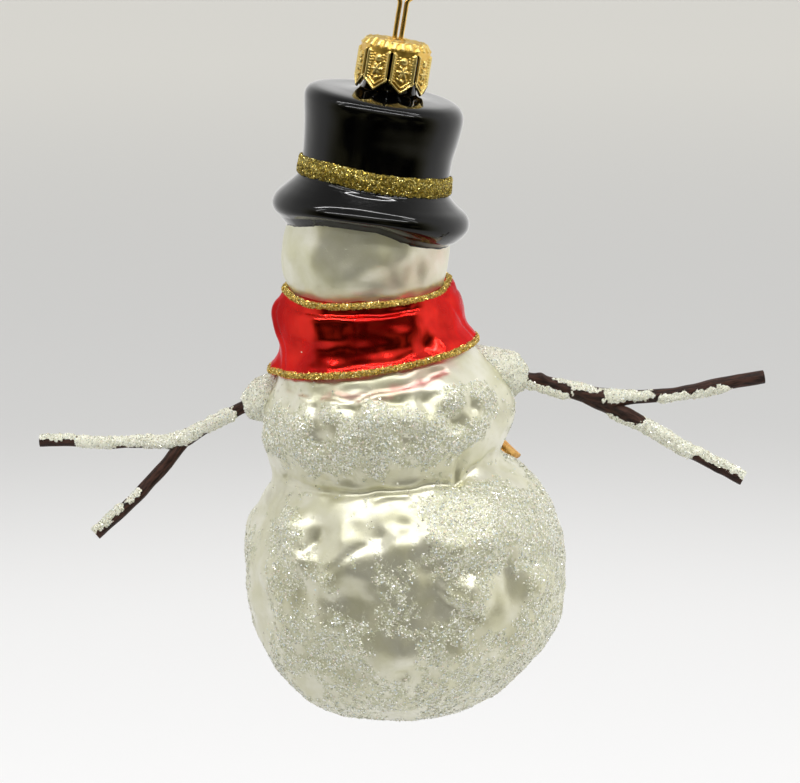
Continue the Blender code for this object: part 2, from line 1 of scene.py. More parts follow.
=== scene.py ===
"""Looks of the hanging glass snowman: painted glass, glitter, crown cap, wire and snowy twigs.

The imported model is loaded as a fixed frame, in metres with +Z up, and every piece built here rides
on it. Sizes in this file are millimetres and degrees until a mesh is made. An azimuth is measured
round the figure from its back, +Y, towards its left side, +X, so its face is at 180 degrees.
"""

import logging
import math
from collections.abc import Iterable
from dataclasses import dataclass, field
from enum import Enum

import bpy
from bpy.types import ID, Material, Node, NodeSocket, NodeTree, Object
from bpy.types import bpy_prop_collection as Sockets
import numpy as np
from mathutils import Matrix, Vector, noise
from mathutils.bvhtree import BVHTree


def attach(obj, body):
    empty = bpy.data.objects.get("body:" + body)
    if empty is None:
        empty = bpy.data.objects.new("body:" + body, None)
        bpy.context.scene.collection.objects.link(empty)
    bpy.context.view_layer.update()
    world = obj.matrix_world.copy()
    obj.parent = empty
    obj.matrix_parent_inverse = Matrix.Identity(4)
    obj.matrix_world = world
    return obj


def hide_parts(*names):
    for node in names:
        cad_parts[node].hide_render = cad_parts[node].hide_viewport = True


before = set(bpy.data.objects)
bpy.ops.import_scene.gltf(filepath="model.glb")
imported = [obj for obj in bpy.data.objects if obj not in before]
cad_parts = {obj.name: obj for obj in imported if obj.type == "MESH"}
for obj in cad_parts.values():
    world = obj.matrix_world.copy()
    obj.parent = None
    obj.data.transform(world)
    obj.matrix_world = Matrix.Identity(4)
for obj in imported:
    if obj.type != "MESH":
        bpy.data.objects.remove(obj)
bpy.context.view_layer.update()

MM = 0.001
TURN = 360.0
FRONT = 180.0
UP = np.array((0.0, 0.0, 1.0))
BACK = np.array((0.0, 1.0, 0.0))
HANG_LEAN = math.radians(9.2)
HANG_SIDE = np.array((math.cos(HANG_LEAN), 0.0, math.sin(HANG_LEAN)))
HANG_DOWN = np.array((math.sin(HANG_LEAN), 0.0, -math.cos(HANG_LEAN)))

Array = np.ndarray
Pair = tuple[float, float]
Rows = tuple[tuple[float, ...], ...]
Colour = tuple[float, float, float]
Layer = tuple[object, object, object]       # colour, roughness and height
log = logging.getLogger("glass_snowman")


class Slot(Enum):
    """The finishes of the ornament, by their names in the record."""

    PEARL = "pearl_lacquer"
    RED = "red_lustre"
    BLACK = "black_enamel"
    COAL = "coal_paint"
    CARROT = "carrot_paint"
    GOLD_GLITTER = "gold_glitter"
    SNOW_GLITTER = "snow_glitter"
    CAP = "gold_cap"
    WIRE = "gold_wire"
    PASTE = "snow_paste"
    BARK = "twig_bark"


# ---------------------------------------------------------------- geometry helpers

def ease(value: Array) -> Array:
    """Blend smoothly from 0 to 1 while the value goes from 0 to 1."""
    held = np.clip(value, 0.0, 1.0)
    return held * held * (3.0 - 2.0 * held)


def through(table: Array, station: Array) -> Array:
    """Read a table of values at fractional rows, along a curve through all of them.

    Args:
        table: One row of values for each station.
        station: Fractional row numbers, in an array of any shape.

    Returns:
        The values, in an array with one more axis than station.
    """
    last = len(table) - 1
    index = np.clip(np.floor(station).astype(int), 0, last - 1)
    way = (station - index)[..., None]
    before, start, end, after = (table[np.clip(index + step, 0, last)] for step in (-1, 0, 1, 2))
    square = way * way
    cube = square * way
    return (
        start * (2 * cube - 3 * square + 1)
        + end * (3 * square - 2 * cube)
        + (end - before) / 2 * (cube - 2 * square + way)
        + (after - start) / 2 * (cube - square)
    )


def noise_at(points: Array, size: float, shift: float = 0.0) -> Array:
    """Give smooth noise from -1 to 1 at points.

    Args:
        points: Points in millimetres, with the coordinates on the last axis.
        size: Size of the noise's features, in millimetres.
        shift: Moves the pattern, so that two uses differ.

    Returns:
        One value for each point.
    """
    flat = points.reshape(-1, 3) / size + shift
    values = [noise.noise(Vector(point)) for point in flat.tolist()]
    return np.array(values).reshape(points.shape[:-1])


def line_distance(points: Array, line: Array) -> Array:
    """Measure how far points are from a line of straight stretches.

    Args:
        points: Points with the coordinates on the last axis.
        line: The line's corners, one in each row.

    Returns:
        One distance for each point.
    """
    nearest = np.full(points.shape[:-1], np.inf)
    for start, end in zip(line, line[1:]):
        way = end - start
        share = np.clip((points - start) @ way / (way @ way), 0.0, 1.0)
        gap = np.linalg.norm(points - start - share[..., None] * way, axis=-1)
        nearest = np.minimum(nearest, gap)
    return nearest


def unit(vectors: Array) -> Array:
    """Scale vectors to a length of one."""
    return vectors / np.maximum(np.linalg.norm(vectors, axis=-1, keepdims=True), 1e-9)


def facing(azimuth: float) -> Array:
    """Give the directions across, up and outwards at an azimuth, one in each row."""
    turn = math.radians(azimuth)
    out = np.array((math.sin(turn), math.cos(turn), 0.0))
    return np.stack((np.cross(UP, out), UP, out))


def circles(sides: int, first: Array, second: Array) -> Array:
    """Give directions all round, a ring of them for each pair of directions.

    Args:
        sides: Number of directions in a ring.
        first: Where each ring starts.
        second: Where it is a quarter of the way round.

    Returns:
        The directions, in an array with one more axis.
    """
    turn = math.tau * np.arange(sides)[:, None] / sides
    return np.cos(turn) * first[..., None, :] + np.sin(turn) * second[..., None, :]


def ball(rows: int, columns: int, gap: float) -> Array:
    """Give the points of a ball of radius 1, in rows from its outer pole to its inner one.

    Args:
        rows: Number of rows.
        columns: Number of points in a row.
        gap: Angle in radians between a pole and the row next to it.

    Returns:
        The points, by their place across, up and outwards.
    """
    polar = np.linspace(gap, math.pi - gap, rows)[:, None]
    angle = math.tau * np.arange(columns)[None] / columns
    across, up = np.cos(angle) * np.sin(polar), np.sin(angle) * np.sin(polar)
    return np.stack((across, up, np.broadcast_to(np.cos(polar), across.shape)), axis=-1)


@dataclass(frozen=True)
class Coat:
    """A finish that is ready to be put on: its material, and the slot that it fills."""

    material: Material
    slot: Slot | None


def make_piece(
    name: str, points: Array, faces: list[tuple[int, ...]], coat: Coat, smooth: bool = True
) -> Object:
    """Put a mesh into the scene.

    Args:
        name: Name of the piece.
        points: Its corners in millimetres, one in each row.
        faces: Corner numbers of each face.
        coat: Its finish.
        smooth: Whether its faces are shaded as one curved surface.

    Returns:
        The new piece.
    """
    mesh = bpy.data.meshes.new(name)
    mesh.from_pydata((points * MM).tolist(), [], faces)
    mesh.materials.append(coat.material)
    if smooth:
        mesh.shade_smooth()
    mesh.update()
    piece = bpy.data.objects.new(name, mesh)
    bpy.context.scene.collection.objects.link(piece)
    return piece


def add_values(piece: Object, name: str, values: Array) -> None:
    """Store a number or a vector at each corner of a piece for its finish to read.

    Args:
        piece: The piece.
        name: Name that the finish reads it by.
        values: One number for each corner, or three.
    """
    vector = values.ndim > 1 and values.shape[-1] == 3
    attribute = piece.data.attributes.new(name, "FLOAT_VECTOR" if vector else "FLOAT", "POINT")
    attribute.data.foreach_set("vector" if vector else "value", values.astype(np.float32).ravel())


def settle(piece: Object, coat: Coat, *nodes: str) -> None:
    """Fix a piece to the frame.

    Args:
        piece: The piece, in its place.
        coat: The finish that it has. Not used.
        nodes: Solids of the frame that it stands for.
    """
    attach(piece, "root")
    if nodes:
        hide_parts(*nodes)
    log.info("%s: %d faces", piece.name, len(piece.data.polygons))


@dataclass
class Skin:
    """A grid of points that is wrapped round into a tube, or into a ring if its rows close too."""

    points: Array
    ring: bool = False

    def normals(self) -> Array:
        """Give the outward direction at each point."""
        if self.ring:
            along = np.roll(self.points, -1, axis=0) - np.roll(self.points, 1, axis=0)
        else:
            along = np.gradient(self.points, axis=0)
        around = np.roll(self.points, -1, axis=1) - np.roll(self.points, 1, axis=1)
        return unit(np.cross(along, around))

    def raised(self, rise: Array) -> "Skin":
        """Push each point outwards by its own rise."""
        return Skin(self.points + self.normals() * rise[..., None], self.ring)

    def faces(self, kept: Array | None = None) -> list[tuple[int, ...]]:
        """List the faces of the grid, with both ends closed unless it is a ring.

        Args:
            kept: Which points are kept. A face is left out if it has none of them.

        Returns:
            The corner numbers of each face.
        """
        rows, columns = self.points.shape[:2]
        number = np.arange(rows * columns).reshape(rows, columns)
        if self.ring:
            number = np.vstack((number, number[:1]))
        beside = np.roll(number, -1, axis=1)
        quads = np.stack((number[:-1], number[1:], beside[1:], beside[:-1]), axis=-1).reshape(-1, 4)
        if kept is not None:
            quads = quads[kept.reshape(-1)[quads].any(axis=1)]
        faces = [tuple(quad) for quad in quads.tolist()]
        if not self.ring and kept is None:
            faces.append(tuple(number[0].tolist()))
            faces.append(tuple(reversed(number[-1].tolist())))
        return faces

    def piece(
        self, name: str, coat: Coat, *nodes: str, kept: Array | None = None, **values: Array
    ) -> None:
        """Make the grid a smooth piece of the ornament.

        Args:
            name: Name of the piece.
            coat: Its finish.
            nodes: Solids of the frame that it stands for.
            kept: Which points are kept, if not all.
            values: What its finish reads at each point.
        """
        piece = make_piece(name, self.points.reshape(-1, 3), self.faces(kept), coat)
        for label, stored in values.items():
            add_values(piece, label, stored)
        settle(piece, coat, *nodes)

    def strewn(self, count: int, weight: Array, seed: int) -> tuple[Array, Array]:
        """Pick random places on the grid.

        Args:
            count: Number of places.
            weight: How likely each point's surroundings are to be picked.
            seed: Start of the random numbers.

        Returns:
            The places, and the outward directions there.
        """
        rng = np.random.default_rng(seed)
        ends = (self.points, self.normals(), weight[..., None])
        if self.ring:
            ends = tuple(np.concatenate((grid, grid[:1])) for grid in ends)
        places, directions, weights = (
            [np.roll(grid, shift, axis=1)[rows] for shift in (0, -1) for rows in (slice(None, -1), slice(1, None))]
            for grid in ends
        )
        area = np.linalg.norm(np.cross(places[1] - places[0], places[2] - places[0]), axis=-1)
        chance = (area * sum(weights)[..., 0]).reshape(-1)
        picked = rng.choice(chance.size, size=count, p=chance / chance.sum())
        down, side = rng.random((2, count, 1))
        shares = ((1 - side) * (1 - down), (1 - side) * down, side * (1 - down), side * down)

        def blended(grids: list[Array]) -> Array:
            """Mix the four corners of each picked face."""
            return sum(share * grid.reshape(-1, 3)[picked] for share, grid in zip(shares, grids))

        return blended(places), unit(blended(directions))


@dataclass(frozen=True)
class Chips:
    """Glitter: thin irregular chips that lie on a surface at all angles."""

    size: float             # from a chip's middle to its corners
    tilt: float             # how far a chip may lean
    seed: int
    thickness: float = 0.3  # share of its size
    lift: float = 0.1       # height of its middle over the surface, as a share of its size

    def strew(self, name: str, skin: Skin, weight: Array, count: int, coat: Coat, shift: int = 0) -> None:
        """Strew chips over a skin as one piece of the ornament.

        Args:
            name: Name of the piece.
            skin: What they lie on.
            weight: How thickly they lie at each of its points.
            count: Number of chips.
            coat: Their finish.
            shift: Moves the start of the random places.
        """
        places, directions = skin.strewn(count, weight, self.seed + shift)
        rng = np.random.default_rng(self.seed)
        lean = np.tan(np.radians(self.tilt)) * rng.random((count, 1))
        normal = unit(directions + unit(rng.normal(size=(count, 3))) * lean)
        across = unit(np.cross(normal, rng.normal(size=(count, 3))))
        other = np.cross(normal, across)
        size = self.size * rng.uniform(0.65, 1.3, (count, 1))
        middle = places + directions * size * self.lift
        corners = []
        for index in range(3):
            angle = math.tau * index / 3 + rng.uniform(-0.45, 0.45, (count, 1))
            reach = size * rng.uniform(0.75, 1.15, (count, 1))
            corners.append(middle + (across * np.cos(angle) + other * np.sin(angle)) * reach)
        offset = (across * rng.uniform(-0.3, 0.3, (count, 1)) + normal * self.thickness) * size
        corners.append(middle + offset)
        points = np.stack(corners, axis=1).reshape(-1, 3)
        shape = np.array(((0, 2, 1), (0, 1, 3), (1, 2, 3), (2, 0, 3)))
        faces = (shape[None] + 4 * np.arange(count)[:, None, None]).reshape(-1, 3)
        settle(make_piece(name, points, faces.tolist(), coat, smooth=False), coat)


@dataclass(frozen=True)
class Profile:
    """Oval rings, one above another, that a form of blown glass passes through.

    A ring is its middle's x and height, its half width, its roll, which turns its left side up,
    and its pitch, which turns its back down.
    """

    rings: Rows
    depth: float = 0.95     # front-to-back size over side-to-side size

    def table(self) -> Array:
        """List the rings as rows of five values."""
        return np.array([(*ring, 0.0, 0.0)[:5] for ring in self.rings])

    def station(self, height: float | Array) -> Array:
        """Give the station of the ring at a height."""
        return np.interp(height, self.table()[:, 1], np.arange(len(self.rings)))

    def points(self, station: Array, azimuth: Array, rise: float | Array = 0.0) -> Array:
        """Give points on the form.

        Args:
            station: Fractional ring numbers.
            azimuth: Azimuths, in an array of the same shape.
            rise: How far the points are pushed out.

        Returns:
            The points, with their coordinates on the last axis.
        """
        middle_x, height, width, roll, pitch = np.moveaxis(through(self.table(), station), -1, 0)
        roll, pitch, angle = np.radians(roll), np.radians(pitch), np.radians(azimuth)
        across = np.sin(angle) * (width + rise)
        along = np.cos(angle) * (width * self.depth + rise)
        return np.stack(
            (
                middle_x + np.cos(roll) * across,
                np.cos(pitch) * along,
                height + np.sin(roll) * across - np.sin(pitch) * along,
            ),
            axis=-1,
        )

    def spot(self, azimuth: float, height: float, rise: float = 0.0) -> Array:
        """Give the point of the form at an azimuth and a ring's height."""
        return self.points(self.station(height), np.asarray(azimuth), rise)

    def skin(self, rows: int, columns: int) -> Skin:
        """Lay an even grid of rows and columns over the form."""
        azimuth = np.arange(columns) * TURN / columns
        return Skin(self.points(*np.meshgrid(np.linspace(0.0, len(self.rings) - 1, rows), azimuth, indexing="ij")))

    def lumps(self, points: Array, marks: Iterable[tuple[float, ...]]) -> Array:
        """Add up soft round lumps.

        Args:
            points: Points on or near the form.
            marks: Azimuth, height, rise and reach of each lump.

        Returns:
            The rise of all of them at each point.
        """
        rise = np.zeros(points.shape[:-1])
        for azimuth, height, lump, reach in marks:
            gap = points - self.spot(azimuth, height)
            rise += lump * np.exp(-(gap * gap).sum(-1) / reach**2)
        return rise

    def ridges(self, points: Array, marks: Iterable[tuple]) -> list[Array]:
        """Work out soft ridges.

        Args:
            points: Points on or near the form.
            marks: Rise and width of each ridge, and the azimuths and heights that it runs through.

        Returns:
            The rise of each one at each point.
        """
        ridges = []
        for rise, width, places in marks:
            line = np.array([self.spot(*place) for place in places])
            ridges.append(rise * np.exp(-((line_distance(points, line) / width) ** 2)))
        return ridges


# ---------------------------------------------------------------- material helpers

class Board:
    """A node tree with short calls for placing and wiring nodes."""

    def __init__(self, tree: NodeTree) -> None:
        """Keep the tree."""
        self.tree = tree

    def add(self, kind: str, **settings: object) -> Node:
        """Place a node.

        Args:
            kind: Node type without its ShaderNode prefix.
            settings: Properties of the node. One that starts with in_ sets an input instead.

        Returns:
            The node.
        """
        node = self.tree.nodes.new(f"ShaderNode{kind}")
        for name, value in settings.items():
            if name.startswith("in_"):
                self.set(node, name[3:].replace("_", " "), value)
            else:
                setattr(node, name, value)
        return node

    def fill(self, node: Node, **values: object) -> None:
        """Set several inputs, by their names with a low line for each space."""
        for name, value in values.items():
            self.set(node, name.replace("_", " "), value)

    def set(self, node: Node, socket: str | int, value: object) -> None:
        """Give an input a value, or wire it to another node's output."""
        target = node.inputs[int(socket)] if str(socket).isdigit() else node.inputs[socket]
        if isinstance(value, NodeSocket):
            self.tree.links.new(value, target)
        elif isinstance(value, tuple) and len(value) == 3 and target.type == "RGBA":
            target.default_value = (*value, 1.0)
        else:
            target.default_value = value

    def mix(self, share: object, low: object, high: object) -> NodeSocket:
        """Mix two colours.

        Args:
            share: Share of the second one.
            low: First colour.
            high: Second colour.

        Returns:
            The mixed colour.
        """
        node = self.add("Mix", data_type="RGBA")
        self.set(node, 0, share)
        self.set(node, 6, low)
        self.set(node, 7, high)
        return node.outputs[2]

    def sum(self, kind: str, first: object, second: object) -> NodeSocket:
        """Work out one number from two."""
        node = self.add("Math", operation=kind)
        self.set(node, 0, first)
        self.set(node, 1, second)
        return node.outputs[0]

    def between(
        self, value: object, low: float, high: float, to: Pair = (0.0, 1.0)
    ) -> NodeSocket:
        """Map a stretch of values onto another one and hold it there.

        Args:
            value: The value.
            low: Where the stretch starts.
            high: Where it ends.
            to: What its two ends become.

        Returns:
            The mapped value.
        """
        node = self.add("MapRange", interpolation_type="SMOOTHSTEP")
        for socket, number in enumerate((value, low, high, *to)):
            self.set(node, socket, number)
        return node.outputs[0]

    def over(self, value: object, to: Pair) -> NodeSocket:
        """Map a mask from 0 to 1 onto another stretch."""
        return self.between(value, 0.0, 1.0, to)

    def noise(self, place: object, scale: object, detail: float, **settings: object) -> NodeSocket:
        """Place a noise and give its value."""
        return self.add("TexNoise", in_Vector=place, in_Scale=scale, in_Detail=detail, **settings).outputs[0]

    def stored(self, name: str, kind: str = "Fac") -> NodeSocket:
        """Read what is stored at each corner of a piece."""
        return self.add("Attribute", attribute_name=name).outputs[kind]

    def place(self) -> NodeSocket:
        """Give the place on the piece, in metres."""
        return self.add("TexCoord").outputs["Object"]


class Effect(Enum):
    """The surface effects that several finishes share."""

    FILM = "uneven_film"
    CELLS = "glitter_cells"
    GLINTS = "chip_tints"
    WEAR = "rubbed_metal"


class Effects:
    """Builds each shared effect once, as a group of nodes. Its sizes are in millimetres."""

    run_size = 1.6
    dust_size = 0.25
    grain_size = 0.12

    def __init__(self) -> None:
        """Build all the effects."""
        self.groups = {
            Effect.FILM: self._film(),
            Effect.CELLS: self._cells(),
            Effect.GLINTS: self._glints(),
            Effect.WEAR: self._wear(),
        }

    @staticmethod
    def _start(
        effect: Effect, inputs: dict[str, tuple[str, object]], outputs: dict[str, str]
    ) -> tuple[Board, Sockets, Node]:
        """Start a group.

        Args:
            effect: The effect that it makes.
            inputs: Kind and first value of each input by its name.
            outputs: Kind of each output by its name.

        Returns:
            The board, what the group is given and the node for what it makes.
        """
        tree = bpy.data.node_groups.new(effect.value, "ShaderNodeTree")
        for name, (kind, value) in inputs.items():
            socket = tree.interface.new_socket(name, in_out="INPUT", socket_type=f"NodeSocket{kind}")
            socket.default_value = value
        for name, kind in outputs.items():
            tree.interface.new_socket(name, in_out="OUTPUT", socket_type=f"NodeSocket{kind}")
        return Board(tree), tree.nodes.new("NodeGroupInput").outputs, tree.nodes.new("NodeGroupOutput")

    @staticmethod
    def _scale(board: Board, given: Sockets) -> NodeSocket:
        """Work out a texture's scale from the group's size in millimetres."""
        return board.sum("DIVIDE", 1.0 / MM, given["Size"])

    def _film(self) -> NodeTree:
        """Build the unevenness of a brushed-on film: clouds, thin runs and fine dust."""
        board, given, made = self._start(
            Effect.FILM,
            {"Size": ("Float", 6.0), "Runs": ("Float", 0.3), "Dust": ("Float", 0.2)},
            {"Cloud": "Float", "Height": "Float"},
        )
        place = board.place()
        cloud = board.noise(place, self._scale(board, given), 3.0, in_Roughness=0.55)
        long = board.add("Mapping", in_Vector=place, in_Scale=(1.0, 1.0, 0.18)).outputs[0]
        runs = board.sum("MULTIPLY", board.noise(long, 1.0 / (self.run_size * MM), 2.0), given["Runs"])
        dust = board.sum("MULTIPLY", board.noise(place, 1.0 / (self.dust_size * MM), 1.0), given["Dust"])
        height = board.sum("ADD", board.sum("ADD", cloud, runs), dust)
        board.fill(made, Cloud=board.between(cloud, 0.3, 0.7), Height=height)
        return board.tree

    def _cells(self) -> NodeTree:
        """Build fine glitter that is too small for chips of its own."""
        board, given, made = self._start(
            Effect.CELLS, {"Size": ("Float", 0.3)}, {"Glint": "Float", "Height": "Float"}
        )
        cell = board.add("TexVoronoi", in_Vector=board.place(), in_Scale=self._scale(board, given))
        level = board.add("SeparateColor", in_0=cell.outputs["Color"]).outputs
        board.fill(made, Glint=board.between(level[0], 0.72, 1.0), Height=level[1])
        return board.tree

    def _glints(self) -> NodeTree:
        """Build the tints that differ from one chip of glitter to the next."""
        tints = ("Dark", "Body", "Bright", "First tint", "Second tint")
        board, given, made = self._start(
            Effect.GLINTS,
            {name: ("Color", (0.5, 0.5, 0.5, 1.0)) for name in tints} | {"Tinted": ("Float", 0.3)},
            {"Color": "Color", "Level": "Float"},
        )
        chip = board.add("NewGeometry").outputs["Random Per Island"]
        other = board.add("TexWhiteNoise", noise_dimensions="1D", in_W=chip)
        parts = board.add("SeparateColor", in_0=other.outputs["Color"]).outputs
        low = board.mix(board.between(chip, 0.0, 0.5), given["Dark"], given["Body"])
        plain = board.mix(board.between(chip, 0.7, 1.0), low, given["Bright"])
        tint = board.mix(parts[0], given["First tint"], given["Second tint"])
        share = board.sum("MULTIPLY", board.between(parts[1], 0.4, 1.0), given["Tinted"])
        board.fill(made, Color=board.mix(share, plain, tint), Level=parts[2])
        return board.tree

    def _wear(self) -> NodeTree:
        """Build the fine rubbing and tarnish of thin gold-coloured metal."""
        board, given, made = self._start(
            Effect.WEAR, {"Size": ("Float", 1.2)}, {"Tarnish": "Float", "Height": "Float"}
        )
        place = board.place()
        patch = board.noise(place, self._scale(board, given), 4.0)
        grain = board.noise(place, 1.0 / (self.grain_size * MM), 2.0)
        board.fill(made, Tarnish=board.between(patch, 0.42, 0.68), Height=grain)
        return board.tree

    def place(self, board: Board, effect: Effect, **values: object) -> Sockets:
        """Place an effect in a material.

        Args:
            board: The material's board.
            effect: The effect.
            values: Its inputs.

        Returns:
            Its outputs.
        """
        node = board.add("Group", node_tree=self.groups[effect])
        board.fill(node, **values)
        return node.outputs


@dataclass(frozen=True)
class Finish:
    """A finish of the ornament. Each kind paints its own nodes round one Principled shader."""

    name: str
    slot: Slot | None
    rough: Pair = (0.4, 0.5)     # where a finish's mask is 0, and where it is 1
    metallic: float = 0.0
    specular: float = 0.5
    coat: float = 0.0
    coat_rough: float = 0.03
    relief: float = 0.05        # the depth that a height of 1 stands for, in millimetres

    def build(self, effects: Effects) -> Coat:
        """Make the material.

        Args:
            effects: The shared effects.

        Returns:
            The material and its slot.
        """
        material = bpy.data.materials.new(self.name)
        material.use_nodes = True
        board, shader = Board(material.node_tree), material.node_tree.nodes["Principled BSDF"]
        board.fill(shader, Metallic=self.metallic, Specular_IOR_Level=self.specular)
        board.fill(shader, Coat_Weight=self.coat, Coat_Roughness=self.coat_rough)
        colour, rough, height = self.paint(board, shader, effects)
        board.fill(shader, Base_Color=colour, Roughness=rough)
        if height is not None:
            bump = board.add("Bump", in_Height=height, in_Distance=self.relief * MM, in_Strength=1.0)
            board.set(shader, "Normal", bump.outputs[0])
        return Coat(material, self.slot)

    def paint(self, board: Board, shader: Node, effects: Effects) -> Layer:
        """Lay the finish's own nodes and give its colour, its roughness and the height of its relief."""
        raise NotImplementedError


@dataclass(frozen=True)
class PearlLacquer(Finish):
    """Satin pearl lacquer over silvered glass, frosted where glitter covers it."""

    rough: Pair = (0.33, 0.41)
    coat: float = 0.3
    coat_rough: float = 0.22
    relief: float = 0.07
    light: Colour = (0.89, 0.875, 0.74)
    shade: Colour = (0.76, 0.745, 0.54)
    frosted: Colour = (0.64, 0.645, 0.46)
    glint: Colour = (1.0, 1.0, 0.92)
    # painted red reflection of the scarf, mixed into the pearl where the glass stores it
    blush: Colour = (0.80, 0.20, 0.22)
    metal: Pair = (0.74, 0.50)   # of the bare lacquer, and of the frost
    frost_rough: float = 0.5

    def paint(self, board: Board, shader: Node, effects: Effects) -> Layer:
        """Lay the lacquer's clouds, the painted red reflection of the scarf and the frost's cells."""
        film = effects.place(board, Effect.FILM, Size=7.0, Runs=0.12, Dust=0.1)
        cells = effects.place(board, Effect.CELLS, Size=0.26)
        lace = board.sum("ADD", board.stored("frost"), board.sum("MULTIPLY", cells["Height"], 0.5))
        frost = board.between(lace, 0.42, 0.72)
        plain = board.mix(film["Cloud"], self.light, self.shade)
        # painted red reflection of the scarf over the lacquer
        plain = board.mix(board.stored("blush"), plain, self.blush)
        grainy = board.mix(cells["Glint"], self.frosted, self.glint)
        soft = board.over(film["Cloud"], self.rough)
        rough = board.add("Mix", data_type="FLOAT", in_0=frost, in_2=soft, in_3=self.frost_rough).outputs[0]
        board.set(shader, "Metallic", board.over(frost, self.metal))
        grain = board.sum("MULTIPLY", cells["Height"], frost)
        height = board.sum("ADD", board.sum("MULTIPLY", film["Height"], 0.25), grain)
        return board.mix(frost, plain, grainy), rough, height


@dataclass(frozen=True)
class RedLustre(Finish):
    """Clear red lustre over silvered glass, deeper where it has run thick."""

    rough: Pair = (0.20, 0.29)
    metallic: float = 1.0
    coat: float = 0.19
    coat_rough: float = 0.06
    relief: float = 0.10
    thin: Colour = (0.88, 0.028, 0.017)
    thick: Colour = (0.52, 0.007, 0.006)
    edge: Colour = (0.85, 0.32, 0.36)

    def paint(self, board: Board, shader: Node, effects: Effects) -> Layer:
        """Lay the lustre's clouds and runs."""
        film = effects.place(board, Effect.FILM, Size=9.0, Runs=0.35, Dust=0.03)
        board.set(shader, "Specular Tint", self.edge)
        colour = board.mix(film["Cloud"], self.thin, self.thick)
        return colour, board.over(film["Cloud"], self.rough), film["Height"]


@dataclass(frozen=True)
class BlackEnamel(Finish):
    """Gloss black enamel, brushed on in a few strokes and thin where it was scraped."""

    rough: Pair = (0.12, 0.2)
    specular: float = 0.05
    coat: float = 1.0
    coat_rough: float = 0.02
    relief: float = 0.03
    full: Colour = (0.0004, 0.0004, 0.0005)
    lean: Colour = (0.0012, 0.0012, 0.0012)
    thin: Colour = (0.045, 0.022, 0.012)
    coat_index: float = 1.36

    def paint(self, board: Board, shader: Node, effects: Effects) -> Layer:
        """Lay the enamel's strokes and dust."""
        film = effects.place(board, Effect.FILM, Size=5.0, Runs=0.5, Dust=0.08)
        board.set(shader, "Coat IOR", self.coat_index)
        black = board.mix(film["Cloud"], self.full, self.lean)
        colour = board.mix(board.stored("scraped"), black, self.thin)
        return colour, board.over(film["Cloud"], self.rough), film["Height"]


@dataclass(frozen=True)
class GlossPaint(Finish):
    """Thick gloss paint of one colour, with worn lighter spots."""

    rough: Pair = (0.2, 0.34)
    coat: float = 0.6
    coat_rough: float = 0.08
    colour: Colour = (0.012, 0.012, 0.014)
    worn: Colour = (0.04, 0.04, 0.042)

    def paint(self, board: Board, shader: Node, effects: Effects) -> Layer:
        """Lay the paint's clouds."""
        film = effects.place(board, Effect.FILM, Size=1.8, Runs=0.2, Dust=0.2)
        colour = board.mix(film["Cloud"], self.colour, self.worn)
        return colour, board.over(film["Cloud"], self.rough), film["Height"]


@dataclass(frozen=True)
class ChipGlitter(Finish):
    """Loose glitter, each chip with its own tint and shine."""

    rough: Pair = (0.06, 0.42)
    dark: Colour = (0.66, 0.66, 0.49)
    body: Colour = (0.97, 0.97, 0.86)
    bright: Colour = (1.0, 1.0, 1.0)
    first_tint: Colour = (0.50, 0.76, 0.95)
    second_tint: Colour = (1.0, 0.70, 0.50)
    tinted: float = 0.5
    metal: Pair = (0.65, 0.18)   # of the shiniest chips, and of most

    def paint(self, board: Board, shader: Node, effects: Effects) -> Layer:
        """Lay the chips' tints."""
        tints = {"Dark": self.dark, "Body": self.body, "Bright": self.bright, "Tinted": self.tinted}
        tints |= {"First_tint": self.first_tint, "Second_tint": self.second_tint}
        glints = effects.place(board, Effect.GLINTS, **tints)
        board.set(shader, "Metallic", board.between(glints["Level"], 0.15, 0.4, self.metal))
        return glints["Color"], board.over(glints["Level"], self.rough), None


@dataclass(frozen=True)
class GlueBed(Finish):
    """The bed that gold glitter is strewn on: the same glitter, ground fine."""

    rough: Pair = (0.38, 0.38)
    metallic: float = 0.8
    relief: float = 0.09
    low: Colour = (0.10, 0.07, 0.01)
    high: Colour = (0.52, 0.40, 0.08)

    def paint(self, board: Board, shader: Node, effects: Effects) -> Layer:
        """Lay the bed's cells."""
        cells = effects.place(board, Effect.CELLS, Size=0.22)
        return board.mix(cells["Height"], self.low, self.high), self.rough[0], cells["Height"]


@dataclass(frozen=True)
class StampedBrass(Finish):
    """Thin gold-coloured sheet, stamped and tarnished in its recesses."""

    rough: Pair = (0.3, 0.44)
    metallic: float = 1.0
    relief: float = 0.02
    raised: Colour = (1.0, 0.78, 0.29)
    sunk: Colour = (0.86, 0.56, 0.13)

    def paint(self, board: Board, shader: Node, effects: Effects) -> Layer:
        """Lay the stamping's height and the wear."""
        wear = effects.place(board, Effect.WEAR, Size=0.9)
        shine = board.sum("SUBTRACT", board.stored("stamped"), board.sum("MULTIPLY", wear["Tarnish"], 0.25))
        colour = board.mix(board.between(shine, 0.0, 0.6), self.sunk, self.raised)
        return colour, board.over(wear["Tarnish"], self.rough), wear["Height"]


@dataclass(frozen=True)
class DrawnWire(Finish):
    """Gold-coloured drawn wire, dull where the cap and the hook rub it."""

    rough: Pair = (0.14, 0.3)
    metallic: float = 1.0
    relief: float = 0.012
    clean: Colour = (0.92, 0.62, 0.20)
    dull: Colour = (0.62, 0.36, 0.10)

    def paint(self, board: Board, shader: Node, effects: Effects) -> Layer:
        """Lay the wear."""
        wear = effects.place(board, Effect.WEAR, Size=1.6)
        colour = board.mix(board.sum("MULTIPLY", wear["Tarnish"], 0.6), self.clean, self.dull)
        return colour, board.over(wear["Tarnish"], self.rough), wear["Height"]


